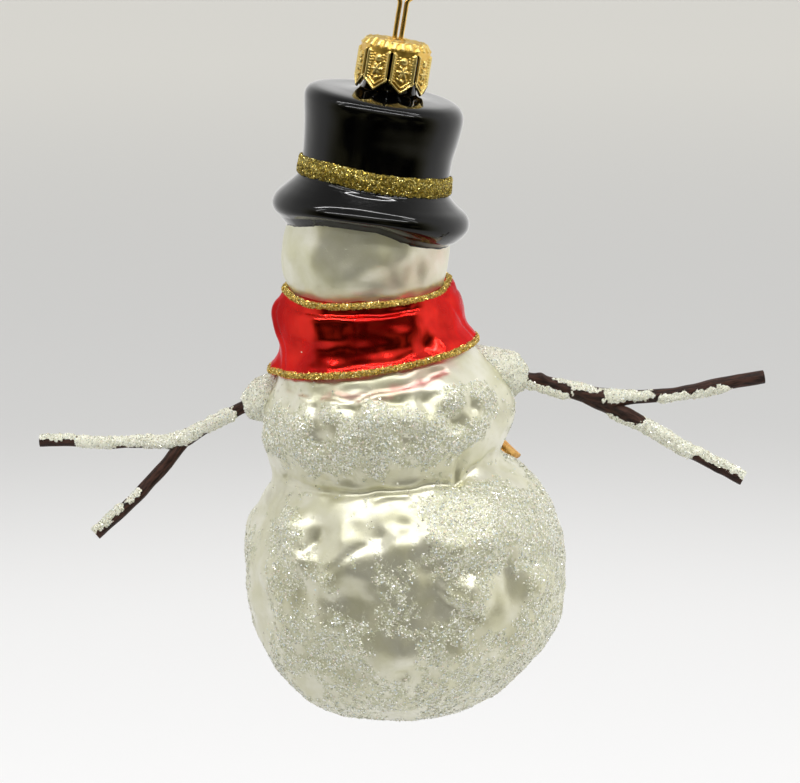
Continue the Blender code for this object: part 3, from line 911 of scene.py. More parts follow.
@dataclass(frozen=True)
class SnowPaste(Finish):
    """White paste rolled in glitter."""

    rough: Pair = (0.75, 0.3)
    relief: float = 0.08
    paste: Colour = (0.86, 0.87, 0.74)
    glint: Colour = (1.0, 1.0, 0.94)
    darker: float = 0.86        # share of the light that the paste's clouds leave

    def paint(self, board: Board, shader: Node, effects: Effects) -> Layer:
        """Lay the paste's clouds and glitter."""
        film = effects.place(board, Effect.FILM, Size=2.4, Runs=0.1, Dust=0.5)
        cells = effects.place(board, Effect.CELLS, Size=0.3)
        plain = board.mix(film["Cloud"], self.paste, tuple(self.darker * part for part in self.paste))
        colour = board.mix(cells["Glint"], plain, self.glint)
        return colour, board.over(cells["Glint"], self.rough), board.sum("ADD", cells["Height"], film["Height"])


@dataclass(frozen=True)
class TwigBark(Finish):
    """Smooth dark bark with lighter streaks along the twig, and pale wood where it is cut."""

    rough: Pair = (0.42, 0.62)
    specular: float = 0.22
    relief: float = 0.08
    dark: Colour = (0.018, 0.009, 0.007)
    light: Colour = (0.068, 0.029, 0.020)
    dusty: Colour = (0.10, 0.082, 0.073)
    wood: Colour = (0.26, 0.17, 0.12)

    def paint(self, board: Board, shader: Node, effects: Effects) -> Layer:
        """Lay the streaks, the dust and the cut ends."""
        along = board.stored("bark", "Vector")
        long = board.add("Mapping", in_Vector=along, in_Scale=(1.0, 1.0, 0.16)).outputs[0]
        streak, fine, patch = board.noise(long, 2.6, 4.0), board.noise(long, 9.0, 3.0), board.noise(along, 0.45, 3.0)
        film = effects.place(board, Effect.FILM, Size=0.8, Runs=0.0, Dust=0.6)
        bark = board.mix(board.between(streak, 0.35, 0.68), self.dark, self.light)
        dust = board.sum("MULTIPLY", board.between(fine, 0.55, 0.75), board.between(patch, 0.45, 0.7))
        dusted = board.mix(board.sum("MULTIPLY", dust, 0.3), bark, self.dusty)
        height = board.sum("ADD", board.sum("MULTIPLY", fine, 1.3), film["Height"])
        return board.mix(board.stored("cut"), dusted, self.wood), board.between(streak, 0.3, 0.7, self.rough), height


@dataclass(frozen=True)
class CarrotPaint(Finish):
    """Orange paint with darker rings round the nose."""

    rough: Pair = (0.25, 0.4)
    coat: float = 0.5
    coat_rough: float = 0.1
    orange: Colour = (0.80, 0.20, 0.02)
    ring: Colour = (0.52, 0.09, 0.01)

    def paint(self, board: Board, shader: Node, effects: Effects) -> Layer:
        """Lay the rings."""
        rings = board.add("TexWave", bands_direction="Y", in_Vector=board.place(), in_Scale=260.0, in_Distortion=1.5)
        film = effects.place(board, Effect.FILM, Size=1.5, Runs=0.1, Dust=0.2)
        colour = board.mix(board.between(rings.outputs[1], 0.7, 1.0), self.orange, self.ring)
        return colour, board.over(film["Cloud"], self.rough), film["Height"]


@dataclass(frozen=True)
class StudioPaper(Finish):
    """Seamless paper with painted light: white near the ornament and greyer further away."""

    rough: Pair = (0.9, 0.9)
    specular: float = 0.1
    near: Colour = (0.875, 0.88, 0.91)
    far: Colour = (0.70, 0.705, 0.725)
    farthest: Colour = (0.84, 0.835, 0.82)
    near_reach: float = 0.47    # metres from the middle of the floor
    far_reach: float = 0.88
    farthest_reach: float = 3.2

    def paint(self, board: Board, shader: Node, effects: Effects) -> Layer:
        """Lay the paper's shading and tooth."""
        reach = board.add("VectorMath", operation="LENGTH", in_0=board.place()).outputs["Value"]
        # painted light falloff: the paper is whitest under the ornament, greyer further out and lighter again far off
        share = board.between(reach, self.near_reach, self.far_reach)
        beyond = board.between(reach, self.far_reach, self.farthest_reach)
        colour = board.mix(share, self.near, board.mix(beyond, self.far, self.farthest))
        film = effects.place(board, Effect.FILM, Size=30.0, Runs=0.0, Dust=0.2)
        return colour, self.rough[0], film["Height"]


class Finishes:
    """Every finish of the ornament, built once."""

    def __init__(self) -> None:
        """Build the shared effects and all the materials."""
        effects = Effects()
        self.pearl = PearlLacquer("pearl_lacquer", Slot.PEARL).build(effects)
        self.red = RedLustre("red_lustre", Slot.RED).build(effects)
        self.black = BlackEnamel("black_enamel", Slot.BLACK).build(effects)
        self.coal = GlossPaint("coal_paint", Slot.COAL).build(effects)
        self.gold_paint = GlossPaint(
            "gold_paint", Slot.GOLD_GLITTER, metallic=0.8, colour=(0.80, 0.36, 0.06), worn=(0.92, 0.56, 0.18)
        ).build(effects)
        self.carrot = CarrotPaint("carrot_paint", Slot.CARROT).build(effects)
        self.gold_bed = GlueBed("gold_glue_bed", Slot.GOLD_GLITTER).build(effects)
        self.trim_bed = GlueBed(
            "gold_trim_bed", Slot.GOLD_GLITTER, low=(0.30, 0.19, 0.03), high=(0.86, 0.62, 0.15)
        ).build(effects)
        self.gold_chips = ChipGlitter(
            "gold_glitter",
            Slot.GOLD_GLITTER,
            rough=(0.10, 0.38),
            dark=(0.10, 0.07, 0.01),
            body=(0.62, 0.47, 0.09),
            bright=(1.0, 0.92, 0.42),
            first_tint=(0.60, 0.62, 0.16),
            second_tint=(0.95, 0.62, 0.16),
            tinted=0.45,
            metal=(0.95, 0.85),
        ).build(effects)
        self.trim_chips = ChipGlitter(
            "gold_trim_glitter",
            Slot.GOLD_GLITTER,
            rough=(0.10, 0.40),
            dark=(0.32, 0.20, 0.03),
            body=(0.90, 0.64, 0.15),
            bright=(1.0, 0.92, 0.48),
            first_tint=(0.82, 0.72, 0.20),
            second_tint=(1.0, 0.62, 0.16),
            tinted=0.45,
            metal=(0.90, 0.70),
        ).build(effects)
        self.snow_chips = ChipGlitter("snow_glitter", Slot.SNOW_GLITTER).build(effects)
        self.cap = StampedBrass("gold_cap", Slot.CAP).build(effects)
        self.wire = DrawnWire("gold_wire", Slot.WIRE).build(effects)
        self.paste = SnowPaste("snow_paste", Slot.PASTE).build(effects)
        self.bark = TwigBark("twig_bark", Slot.BARK).build(effects)
        self.paper = StudioPaper("studio_paper", None).build(effects)


# ---------------------------------------------------------------- the painted glass

SNOW_PROFILE = Profile(
    (
        (2.1, -143.45, 0.6, -1), (2.1, -143.3, 4.5, -1), (2, -142.6, 11, -1),
        (1.5, -140.4, 17.2, -2), (0.5, -136.8, 22.2, -5), (-0.6, -132, 26.4, -6.6),
        (-0.7, -126.9, 29.1, -6.6), (0.1, -121.2, 30.3, -6.6), (0.8, -115.2, 30.7, -6.6),
        (1.4, -109.2, 30, -6.6), (1.9, -103.6, 28, -6.6), (2.5, -99.2, 25.2, -6.6, 2),
        (3.4, -95.7, 21.9, -5.5, 3), (3.9, -93.3, 21.3, -4.5, 3), (4.2, -90.2, 22.4, -5.5, 2),
        (4.5, -86.4, 23.2, -6.6, 1), (5, -82.6, 22.8, -6.6), (5.6, -78.6, 21.3, -7.5),
        (6.3, -74.9, 18.8, -8.7), (6.8, -70.5, 17, -7, 1), (7.6, -65, 15.6, -4, 3.5),
        (7.9, -61.4, 14.6, -2.1, 5), (8.1, -59.9, 14.7, -2, 5), (8.5, -57.8, 15.4, 0, 3),
        (8.4, -55, 15.7, 2, 1), (8.1, -52.2, 15.6, 5, 1), (7.8, -50.2, 15.4, 7.5, 1),
        (7.7, -48.2, 15.3, 7, 0), (7.5, -46.4, 14.6, 7), (7.3, -45, 12.5, 7), (7.2, -44.6, 2, 7),
    )
)

# Lumps of packed snow: azimuth, height, rise and reach. A dent has a negative rise.
SNOW_LUMPS = (
    (25, -80, 0.65, 2), (3, -81.6, 0.9, 3.2), (-14, -82.8, 0.75, 2.4), (-25, -84.4, 0.5, 2.2),
    (-37, -80.2, 0.75, 2.6), (-55, -81.4, 0.8, 3), (-47, -86, 0.6, 2.4), (43, -82.8, 0.8, 3.8),
    (60, -80.8, 0.5, 2.2), (18, -85.4, 0.5, 2.8), (-4, -87, 0.35, 2.8), (-21, -88.2, 0.5, 2.8),
    (38, -88, 0.6, 3), (59, -85.8, 0.6, 2.6), (-36, -88, 0.5, 2.2), (72, -86, 0.6, 3),
    (34, -79, -0.35, 1.3), (14, -79.6, -0.4, 1.4), (-9, -79.4, -0.4, 1.6), (-22, -80.4, -0.4, 1.5),
    (31, -85.2, -0.5, 1.8), (8, -85, -0.35, 1.6), (-10, -85.8, -0.6, 2), (-33, -84.2, -0.5, 1.8),
    (-46, -82.6, -0.35, 1.4), (20, -91.6, -0.3, 1.6), (-38, -90.4, -0.35, 1.5), (52, -79, -0.4, 1.8),
    (47, -102, 0.8, 4.6), (30, -104, -0.8, 3.4), (19, -98, 0.6, 4.6), (-3, -97, 0.5, 4.2),
    (9, -103, -0.7, 4.6), (25, -107, 0.8, 4.6), (1, -105, 0.7, 3.8), (38, -112, -0.5, 4.2),
    (-10, -109, -0.8, 3.8), (-23, -105, 0.6, 4.6), (-43, -105, 0.5, 4.9), (16, -114, -1, 5.7),
    (-10, -115, -0.8, 4.2), (-23, -115, 0.7, 3.4), (-39, -113, -0.6, 3.8), (-53, -117, 0.7, 3.2),
    (5, -124, 0.8, 3.8), (29, -125, -0.6, 4.6), (56, -127, 0.5, 4.2), (-14, -126, 0.6, 4.6),
    (-34, -125, -0.5, 4.2), (8, -135, 0.5, 3.8), (48, -135, 0.4, 3.8), (60, -116, -0.5, 3.8),
    (56, -110, 0.5, 3.4), (-62, -110, 0.4, 3.6), (-40, -99, 0.4, 4.2), (-18, -100, -0.4, 3.4),
    (38, -53.6, 0.65, 3), (12, -52.4, -0.7, 3), (-14, -53.4, 0.55, 2.6), (18, -57, 0.45, 2.6),
    (-4, -57, -0.6, 2.6), (-34, -54.6, -0.5, 3), (-28, -57.6, 0.5, 2.4), (48, -57.4, -0.5, 2.8),
    (-30, -51.4, 0.4, 2.2), (60, -54, 0.4, 3), (-58, -56.5, 0.45, 3.2), (-48, -51.8, -0.4, 2.6),
    (48, -100.4, 0.5, 2.2), (54, -103.6, -0.6, 1.9), (36, -102.6, -0.5, 1.6), (40, -107.2, 0.5, 2.6),
    (28, -110.4, 0.4, 2), (7, -102.6, -0.4, 1.6), (-3, -100.6, -0.35, 1.4), (-20, -106.6, 0.55, 2.2),
    (-24, -110.4, -0.55, 2), (-23, -102.8, -0.5, 2), (-34, -106.6, 0.45, 2.2), (-5, -111, 0.35, 2),
    (4, -128.6, -0.6, 1.6), (30, -117.6, 0.5, 2.6), (40, -124.6, -0.45, 2.6), (20, -130.4, 0.4, 2.6),
)
# Creases and ridges: rise, width and the line's azimuths and heights.
SNOW_CREASES = (
    (-0.75, 0.9, ((66, -93.4), (48, -94.2), (34, -94.9), (20, -95), (3, -94.4), (-15, -94.5),
                  (-35, -94.9), (-50, -93.6), (-64, -92.2))),
    (-0.55, 0.7, ((-37, -91.2), (-36, -93.5), (-35, -95.2))),
    (0.45, 0.6, ((8, -96.4), (1, -95.9), (-7, -96.3))),
    (-0.42, 0.55, ((62, -75.6), (44, -76.4), (22, -77.6), (10, -77.8), (2, -77), (-12, -76.8),
                   (-26, -76.4), (-40, -76))),
    (0.34, 0.5, ((46, -77.4), (26, -78.4), (10, -78.9), (0, -78), (-14, -77.8), (-34, -77.2))),
    (-0.38, 0.45, ((12, -79.9), (6, -79), (-4, -79), (-10, -79.2))),
    (-0.3, 0.5, ((28, -79.2), (21, -79.3), (16, -79.2))),
    (0.3, 0.6, ((60, -74.9), (36, -75.2), (10, -75.4), (-14, -75.4), (-40, -74.8))),
    (-0.3, 0.55, ((-20, -79.4), (-30, -79), (-38, -78.7))),
    (-0.45, 0.55, ((33, -101.4), (35, -103), (39, -104.6))),
    (-0.4, 0.6, ((31, -108.6), (24, -107.4), (19, -105.2), (14, -103.6))),
    (0.5, 0.65, ((-13, -112.6), (-17, -114.9), (-22, -116.7), (-27, -118.4))),
    (-0.35, 0.7, ((-15, -116), (-20, -118), (-25, -119.6))),
    (0.35, 0.8, ((48, -104.4), (40, -106), (34, -106.4))),
)
# Bodies of glitter: azimuth, height, strength and reach. A bare place has a negative strength.
SNOW_COVER = (
    (43, -83, 1, 4), (60, -81.4, 0.9, 3), (72, -84.5, 0.9, 3.6), (25, -80.2, 1.2, 2),
    (3, -81.6, 1.4, 3.3), (12, -83.6, 0.7, 2.6), (-14, -82.8, 1.2, 2.6), (-25, -84.6, 1.1, 2.4),
    (-37, -80.2, 1.3, 2.7), (-53, -80.6, 1.2, 2.6), (-61, -83.2, 1, 2.6), (-47, -86.4, 1.1, 2.8),
    (59, -86.6, 0.8, 3), (38, -88.2, 1.1, 3.4), (18, -86, 0.9, 3.4), (-2, -86.8, 0.8, 3.4),
    (-20, -88.4, 1.1, 2.8), (-36, -88, 1.1, 2.6), (22, -90, 0.7, 2.2), (4, -90.2, 0.8, 2.6),
    (34, -79.4, -0.5, 1.4), (14, -79, -0.6, 1.6), (-8, -79, -0.6, 1.6), (-22, -80, -0.6, 1.8),
    (-47, -83, -0.8, 1.8), (29, -84, -0.4, 1.4), (-46, -90.2, -0.5, 2), (50, -79, -0.4, 1.6),
    (104, -85, 1.1, 6), (126, -83, 1.1, 5.5), (148, -86, 1.1, 6), (166, -88, 0.9, 4.4),
    (186, -86, 0.7, 4), (256, -85, 1, 5), (270, -87, 0.9, 4.6), (240, -86, 0.8, 4),
    (-19, -98.6, 0.9, 3.6), (-28, -99, 1, 4.4), (-39, -102, 1.2, 5.6), (-52, -103, 1.1, 5.6),
    (-65, -106, 1.1, 5.4), (-80, -108, 0.9, 5.4), (-16, -104, 0.9, 3.6), (-30, -108, 0.5, 4),
    (54, -99.8, 1, 3.4), (45, -102, 0.6, 2.8), (58, -104, 0.5, 2.6),
    (16.5, -110.4, -1.3, 2.6), (17, -114.4, -1.3, 2.8), (-8, -113.4, -1.1, 2.5), (-9, -117.2, -1.1, 2.4),
    (7, -124.2, -1.5, 3.2), (6, -126.4, -1, 2.6), (-38, -116.6, -1.3, 3.7), (-35, -120, -1, 2.8),
    (46, -131.4, -1, 2.4), (3, -138.6, -1.1, 2.6), (65, -107.7, -0.8, 4.2), (66, -115, -0.8, 4.6),
    (72, -122, -0.5, 4.6), (34, -113, -0.35, 4), (26, -103.6, -0.7, 3.4), (0, -103.4, -0.7, 3),
    (120, -100, 0.8, 6), (150, -99, 0.9, 6), (205, -100, 0.8, 5), (262, -101, 0.9, 6),
    (110, -112, -0.9, 4.5), (140, -120, -0.9, 4.5), (165, -112, -0.8, 3.8), (190, -122, -0.9, 4.5),
    (215, -113, -0.8, 4.2), (240, -121, -0.9, 4.5), (262, -115, -0.8, 4.2), (170, -132, -0.9, 3.6),
)


# Painted red reflection of the scarf on the glass, in the folds under it and on the head: strength, width and the
# line's azimuths and heights.
SNOW_RED_REFLECTION = (
    (0.42, 0.55, ((30, -76.9), (23, -76.9), (14, -77.3), (5, -77.3), (-6, -76.9))),
    (0.80, 0.75, ((-8, -77), (-14, -77.1), (-20, -77), (-30, -76.7), (-40, -76.2))),
    (0.50, 0.45, ((10, -78.4), (2, -78.5), (-6, -78.2))),
    (0.20, 1.60, ((-18, -75), (-32, -75.2), (-48, -74.8))),
    (0.15, 3.40, ((-22, -57), (-40, -55.5), (-62, -52))),
    (0.22, 0.70, ((6, -58.8), (-12, -58.4))),
)


@dataclass
class SnowBody:
    """The two snow balls and the head, in one skin of lacquered glass, with glitter strewn on it."""

    profile: Profile = SNOW_PROFILE
    rows: int = 240
    columns: int = 310
    lump_scale: float = 1.7
    unevenness: float = 0.36
    chips: Chips = Chips(size=0.27, tilt=42.0, seed=11, thickness=0.22)
    lower_chips: int = 37000
    middle_chips: int = 12500
    waist: float = -94.6        # height between the two balls
    head_foot: float = -62.0
    scarf_foot: float = -76.5   # no glitter lies above it
    front_lumps: int = 34
    skin: Skin = field(init=False)

    def lumps(self) -> list[tuple[float, ...]]:
        """List the lumps of the back, and even ones for the front."""
        lumps = list(SNOW_LUMPS)
        for index in range(self.front_lumps):
            way = (index + 0.5) / self.front_lumps
            rise = 0.7 if index % 3 else -0.7
            lumps.append((75.0 + (index * 137.5) % 210.0, -138.0 + way * 58.0, rise, 4.4))
        return lumps

    def relief(self, points: Array) -> Array:
        """Work out how far the moulded snow stands out.

        Args:
            points: Points of the plain form.

        Returns:
            A rise for each.
        """
        rise = noise_at(points, 5.6) * self.unevenness + noise_at(points, 2.7, 5.0) * self.unevenness * 0.6
        rise += self.lump_scale * self.profile.lumps(points, self.lumps())
        wavy = points + UP * 0.9 * noise_at(points, 4.0, 9.0)[..., None]
        rise += sum(self.profile.ridges(wavy, SNOW_CREASES))
        head = ease((points[..., 2] - self.head_foot) / 4.0)
        return rise * (1.0 - 0.5 * head)

    def blush(self, points: Array) -> Array:
        """Work out how much painted red reflection of the scarf the lacquer shows.

        Args:
            points: Points of the glass.

        Returns:
            A share for each.
        """
        wavy = points + UP * 0.7 * noise_at(points, 3.0, 9.0)[..., None]
        share = np.maximum.reduce(self.profile.ridges(wavy, SNOW_RED_REFLECTION))
        return share * (1.0 + 0.4 * noise_at(points, 1.6, 3.0))

    def cover(self, points: Array) -> Array:
        """Work out how much of the glass the glitter covers.

        Args:
            points: Points of the glass.

        Returns:
            A share for each, from 0 for bare glass to 1.
        """
        height = points[..., 2]
        cover = 0.52 * ease((-103.0 - height) / 8.0) + self.profile.lumps(points, SNOW_COVER)
        ragged = noise_at(points, 2.4, 3.0) * 0.40 + noise_at(points, 1.1, 7.0) * 0.62
        return ease((cover + ragged - 0.22) / 0.62) * (height < self.scarf_foot)

    def build(self, finishes: Finishes) -> None:
        """Make the glass and its glitter.

        Args:
            finishes: The finishes to dress them in.
        """
        plain = self.profile.skin(self.rows, self.columns)
        self.skin = plain.raised(self.relief(plain.points))
        frost = self.cover(self.skin.points)
        self.skin.piece("snow_glass", finishes.pearl, "glass_figure", frost=frost, blush=self.blush(self.skin.points))
        low = self.skin.points[..., 2] < self.waist
        for name, count, where in (
            ("lower_ball_glitter", self.lower_chips, low),
            ("middle_ball_glitter", self.middle_chips, ~low),
        ):
            self.chips.strew(name, self.skin, frost**1.2 * where, count, finishes.snow_chips, shift=count)


@dataclass(frozen=True)
class GlitterBand:
    """A band of gold glitter round the figure, on a bed of glue."""

    name: str
    profile: Profile
    heights: Rows      # azimuth, height of its middle, and how far it stands out
    half_height: float
    thickness: float
    chips: int
    seed: int
    pinch: float = 2.0      # how square its section is
    yellow: bool = False    # whether its chips are of the yellower glitter
    columns: int = 260
    steps: int = 14

    def build(self, finishes: Finishes) -> None:
        """Make the bed and its chips.

        Args:
            finishes: The finishes to dress them in.
        """
        azimuth = np.arange(self.columns) * TURN / self.columns
        marks = np.array([(*mark, 0.0)[:3] for mark in self.heights])
        height, away = (np.interp(azimuth, marks[:, 0], marks[:, value], period=TURN) for value in (1, 2))
        middle = self.profile.station(height)
        centre = self.profile.points(middle, azimuth, away)
        rise = unit(self.profile.points(middle + 0.1, azimuth) - self.profile.points(middle - 0.1, azimuth))
        around = np.roll(centre, -1, axis=0) - np.roll(centre, 1, axis=0)
        out = unit(np.cross(rise, around))
        ragged = 1.0 + 0.10 * noise_at(centre, 2.5, self.seed) + 0.10 * noise_at(centre, 0.9, self.seed + 4.0)
        angle = math.tau * np.arange(self.steps)[:, None] / self.steps

        def rounded(wave: Array) -> Array:
            """Square up a wave."""
            return np.sign(wave) * np.abs(wave) ** (2.0 / self.pinch)

        up = rounded(np.sin(angle)) * self.half_height * ragged
        forth = rounded(np.cos(angle)) * self.thickness
        bed = Skin(centre[None] + rise[None] * up[..., None] + out[None] * forth[..., None], ring=True)
        bed.piece(f"{self.name}_bed", finishes.trim_bed if self.yellow else finishes.gold_bed)
        outside = (np.cos(angle) > -0.25) * np.ones(self.columns)
        chips = Chips(size=0.23, tilt=72.0, seed=self.seed, thickness=0.4, lift=0.15)
        chips.strew(self.name, bed, outside, self.chips, finishes.trim_chips if self.yellow else finishes.gold_chips)


SCARF_PROFILE = Profile(
    (
        (6.4, -74.2, 17, -8.7), (6.4, -74.2, 18.9, -8.7), (6.4, -73.8, 19.35, -8.7),
        (6.4, -72.9, 19.3, -8.7), (6.5, -72, 18.85, -8.4), (7, -69.6, 17.95, -7, 1),
        (7.5, -66.4, 17.6, -5, 3), (7.9, -63.4, 17.1, -3.2, 4), (7.8, -61.9, 16.4, -2.2, 5),
        (7.7, -60.8, 16.1, -2.1, 5), (7.7, -60.25, 15.7, -2.1, 5), (7.8, -60.2, 13.6, -2.1, 5),
    )
)
# Middles of the gold trims: azimuth, height and, where the trim lies on the tail, how far it stands out.
LOWER_TRIM = (
    (60, -73.2), (32, -73.3), (8, -73.5), (-14, -73.5), (-39, -73.35), (-80, -73.2), (-170, -73.4),
    (172, -73.4), (160, -73.4, 0.4), (140, -73.4, 1.05), (112, -73.3, 1.15), (84, -73.2, 1.05),
    (79, -73.2, 0.4), (74, -73.2),
)
UPPER_TRIM = (
    (70, -60.3), (42, -60.95), (19, -60.75), (-5, -60.5), (-40, -60.36), (-62, -60.245), (-80, -60.23),
    (-104, -60.24), (-130, -60.5), (180, -60.5),
)
# Folds in the scarf: rise, width and the line's azimuths and heights.
SCARF_FOLDS = (
    (-0.26, 0.6, ((100, -62), (48, -62.3), (30, -62.6), (10, -62.1), (-8, -62.5), (-30, -62), (-100, -61.9))),
    (0.20, 0.8, ((104, -63.2), (40, -63.6), (20, -63.2), (0, -63.5), (-22, -63.2), (-104, -63.4))),
    (-0.30, 0.7, ((67, -73.5), (70, -70), (74, -67), (76, -63))),
    (-0.25, 0.8, ((-62, -61.5), (-70, -65), (-80, -69.5), (-84, -73))),
    (-0.22, 0.8, ((104, -72.4), (38, -71.8), (24, -72.4), (8, -72), (-10, -72.3), (-24, -71.6), (-104, -72))),
    (0.20, 1.2, ((60, -66), (40, -67.5), (20, -67))),
    (-0.2, 1, ((110, -61.5), (130, -66), (150, -71))),
    (-0.2, 1, ((240, -61.5), (232, -66), (222, -71))),
)
# Broad dents of the scarf: azimuth, height, rise and reach.
SCARF_DENTS = (
    (18, -68.5, -0.40, 3), (4, -65.5, 0.35, 2.6), (-6, -70, -0.42, 2.8), (-26, -67.5, 0.35, 3.2),
    (34, -65, 0.35, 2.8), (50, -69.2, -0.70, 3.2), (30, -69.6, -0.60, 2.8), (44, -72.6, 0.30, 2.2),
    (28, -72.8, 0.25, 2), (16, -71, -0.35, 2.2), (-30, -69.4, -0.45, 2.4), (-44, -72, 0.25, 2.2),
    (-48, -66, -0.32, 3.4), (-20, -63.8, -0.30, 2.2), (-34, -71.4, -0.35, 2.4),
    (14, -72, 0.18, 2.4), (100, -67, -0.3, 5), (140, -66, 0.3, 5), (230, -67, -0.3, 5),
    (260, -66, 0.3, 5), (84, -63.4, 0.9, 3), (80, -66.5, 0.5, 3), (66, -63, 0.35, 2.4),
)


@dataclass
class Scarf:
    """The wrapped scarf with its knot, its hanging tail and their gold edges."""

    profile: Profile = SCARF_PROFILE
    rows: int = 110
    columns: int = 300
    fold_azimuths: tuple[float, ...] = (76.0, 84.0, 140.0, 170.0)
    fold_rise: float = 1.2
    dent_depth: float = 1.35
    knot: tuple[float, ...] = (196.0, -71.0, 0.4)           # azimuth, height and rise
    knot_size: tuple[float, ...] = (5.2, 3.4, 4.4)
    # centre line of the tail: azimuth, height and distance from the figure's axis
    tail: Rows = (
        (199, -72, 20.8), (204, -78, 23.2), (210, -84, 24.6),
        (216.5, -89.5, 25.1), (223, -94, 25.5), (228.5, -98.5, 27.5),
    )
    knot_folds: int = 9
    tail_half_width: float = 6.5
    tail_thickness: float = 2.6
    border: float = 0.82        # where the tail's gold border starts, as a share of its half width

    def lobe(self, points: Array, azimuth: Array) -> Array:
        """Work out the rise of the fold at the scarf's left side."""
        start, full, fade, end = self.fold_azimuths
        up = np.clip((azimuth - start) / (full - start), 0.0, 1.0)
        down = np.clip((end - azimuth) / (end - fade), 0.0, 1.0)
        table = self.profile.table()
        height = table[0, 1] + np.radians(table[0, 3]) * (points[..., 0] - table[0, 0])
        return self.fold_rise * up * down * (1.0 - ease((points[..., 2] - height) / 4.5))

    def build(self, finishes: Finishes) -> None:
        """Make the scarf and its gold edges.

        Args:
            finishes: The finishes to dress them in.
        """
        skin = self.profile.skin(self.rows, self.columns)
        points = skin.points
        azimuth = np.broadcast_to(np.arange(self.columns) * TURN / self.columns, points.shape[:2])
        rise = self.lobe(points, azimuth) + 0.40 * noise_at(points, 4.6, 2.0) + 0.06 * noise_at(points, 1.7, 8.0)
        rise += self.dent_depth * self.profile.lumps(points, SCARF_DENTS)
        rise += sum(self.profile.ridges(points, SCARF_FOLDS))
        edge = ease(np.linspace(0.0, 1.0, self.rows) * (len(self.profile.rings) - 1) - 1.0)[:, None]
        skin.raised(rise * edge).piece("scarf_wrap", finishes.red, "glass_figure")
        GlitterBand("scarf_lower_trim", self.profile, LOWER_TRIM, 0.54, 0.34, 5200, 21, yellow=True).build(finishes)
        GlitterBand("scarf_upper_trim", self.profile, UPPER_TRIM, 0.56, 0.33, 4700, 31, yellow=True).build(finishes)
        self.build_knot(finishes)
        self.build_tail(finishes)

    def build_knot(self, finishes: Finishes) -> None:
        """Make the knot: a squashed ball with folds that run to its middle."""
        azimuth, height, rise = self.knot
        wide, deep, tall = self.knot_size
        shape = ball(40, 64, 0.02)
        folds = np.cos(self.knot_folds * math.tau * np.arange(64) / 64) * (1.0 - shape[..., 2] ** 2)
        pleats = 1.0 + 0.07 * folds + 0.05 * noise_at(shape * 4.0, 2.0)
        points = shape * pleats[..., None] * np.array((wide, tall, deep)) @ facing(azimuth)
        Skin(self.profile.spot(azimuth, height, rise) + points).piece("scarf_knot", finishes.red)

    def tail_grid(self, rows: int, columns: int) -> tuple[Array, Array]:
        """Lay a grid over the tail's outer face.

        Args:
            rows: Number of rows along the tail.
            columns: Number of points across it.

        Returns:
            The points and the outward directions.
        """
        along = through(np.array(self.tail), np.linspace(0.0, len(self.tail) - 1.0, rows))
        share = np.linspace(-1.0, 1.0, columns)[None] * np.ones((rows, 1))
        azimuth = along[:, :1] + share * np.degrees(self.tail_half_width / along[:, 2:])
        table = SNOW_PROFILE.table()
        axis, lean = (np.interp(along[:, 1:2], table[:, 1], table[:, column]) for column in (0, 3))
        roll, turn = np.radians(lean), np.radians(azimuth)
        waves = 0.28 * np.cos(share * 9.0 + along[:, 1:2] * 0.25) * (1.0 - share**2)
        radius = along[:, 2:] + 0.4 * (1.0 - share**4) + waves
        points = np.stack(
            (
                axis + np.cos(roll) * np.sin(turn) * radius,
                np.cos(turn) * (radius - 0.05 * along[:, 2:]),
                along[:, 1:2] + np.sin(roll) * np.sin(turn) * radius,
            ),
            axis=-1,
        )
        outward = unit(np.stack((np.sin(turn), np.cos(turn), 0.0 * turn), axis=-1))
        return points, outward

    def build_tail(self, finishes: Finishes) -> None:
        """Make the hanging tail, the gold border round it and the glitter on its end."""
        outer, outward = self.tail_grid(90, 56)
        inner = outer - outward * self.tail_thickness
        loop = np.concatenate((outer, inner[:, ::-1]), axis=1)
        skin = Skin(loop)
        if (skin.normals()[:, 28] * outward[:, 28]).sum() < 0:
            skin = Skin(loop[:, ::-1])
        skin.piece("scarf_tail", finishes.red)
        for name, line, way, wide in (
            ("scarf_tail_border_left", outer[:, 0], outward[:, 0], 0.75),
            ("scarf_tail_border_right", outer[:, -1], outward[:, -1], 0.75),
            ("scarf_tail_border_end", outer[-1], outward[-1], 0.7),
        ):
            line = line - way * self.tail_thickness * 0.5
            side = unit(np.cross(unit(np.gradient(line, axis=0)), way))
            bead = line[:, None] + circles(18, side * wide, way * self.tail_thickness * 0.62)
            oriented(bead, line).piece(name, finishes.gold_paint)


def oriented(points: Array, line: Array) -> Skin:
    """Wrap a tube round a line so that its faces look away from it.

    Args:
        points: The tube's points, a ring for each point of the line.
        line: The line.

    Returns:
        The tube.
    """
    skin = Skin(points)
    middle = len(line) // 2
    outside = ((points[middle] - line[middle]) * skin.normals()[middle]).sum()
    return skin if outside > 0 else Skin(points[:, ::-1])


HAT_PROFILE = Profile(
    (
        (7.8, -50.6, 15.45, 7.5, 1), (7.75, -50.3, 15.8, 7.5, 0.7), (7.5, -49.5, 16.9, 7.6),
        (7.3, -47.9, 18.3, 6.6), (7.3, -46.3, 18.6, 6.4), (7.2, -44.7, 17.9, 7),
        (7, -43.2, 16.3, 8.2), (6.8, -41.9, 14.95, 8.8), (6.7, -40.8, 14.2, 8.8),
        (6.4, -38.2, 14, 8.8), (5.9, -34.6, 14.1, 8.8), (5.3, -31, 14.6, 9, 1),
        (4.9, -27.8, 15, 9, 3), (4.8, -26.1, 14.95, 9, 4), (4.75, -25.1, 14.45, 9, 4),
        (4.7, -24.5, 13.6, 9, 4), (4.6, -24.2, 12.2, 9, 4), (4.4, -24.1, 8.6, 9, 3),
        (4.1, -23.9, 5.8, 9.2, 1),
        (3.7, -22.7, 4.95, 9.2), (3.2, -19, 4.9, 9.2), (2.5, -15.4, 4.9, 9.2), (2.5, -15.4, 3.6, 9.2),
    )
)
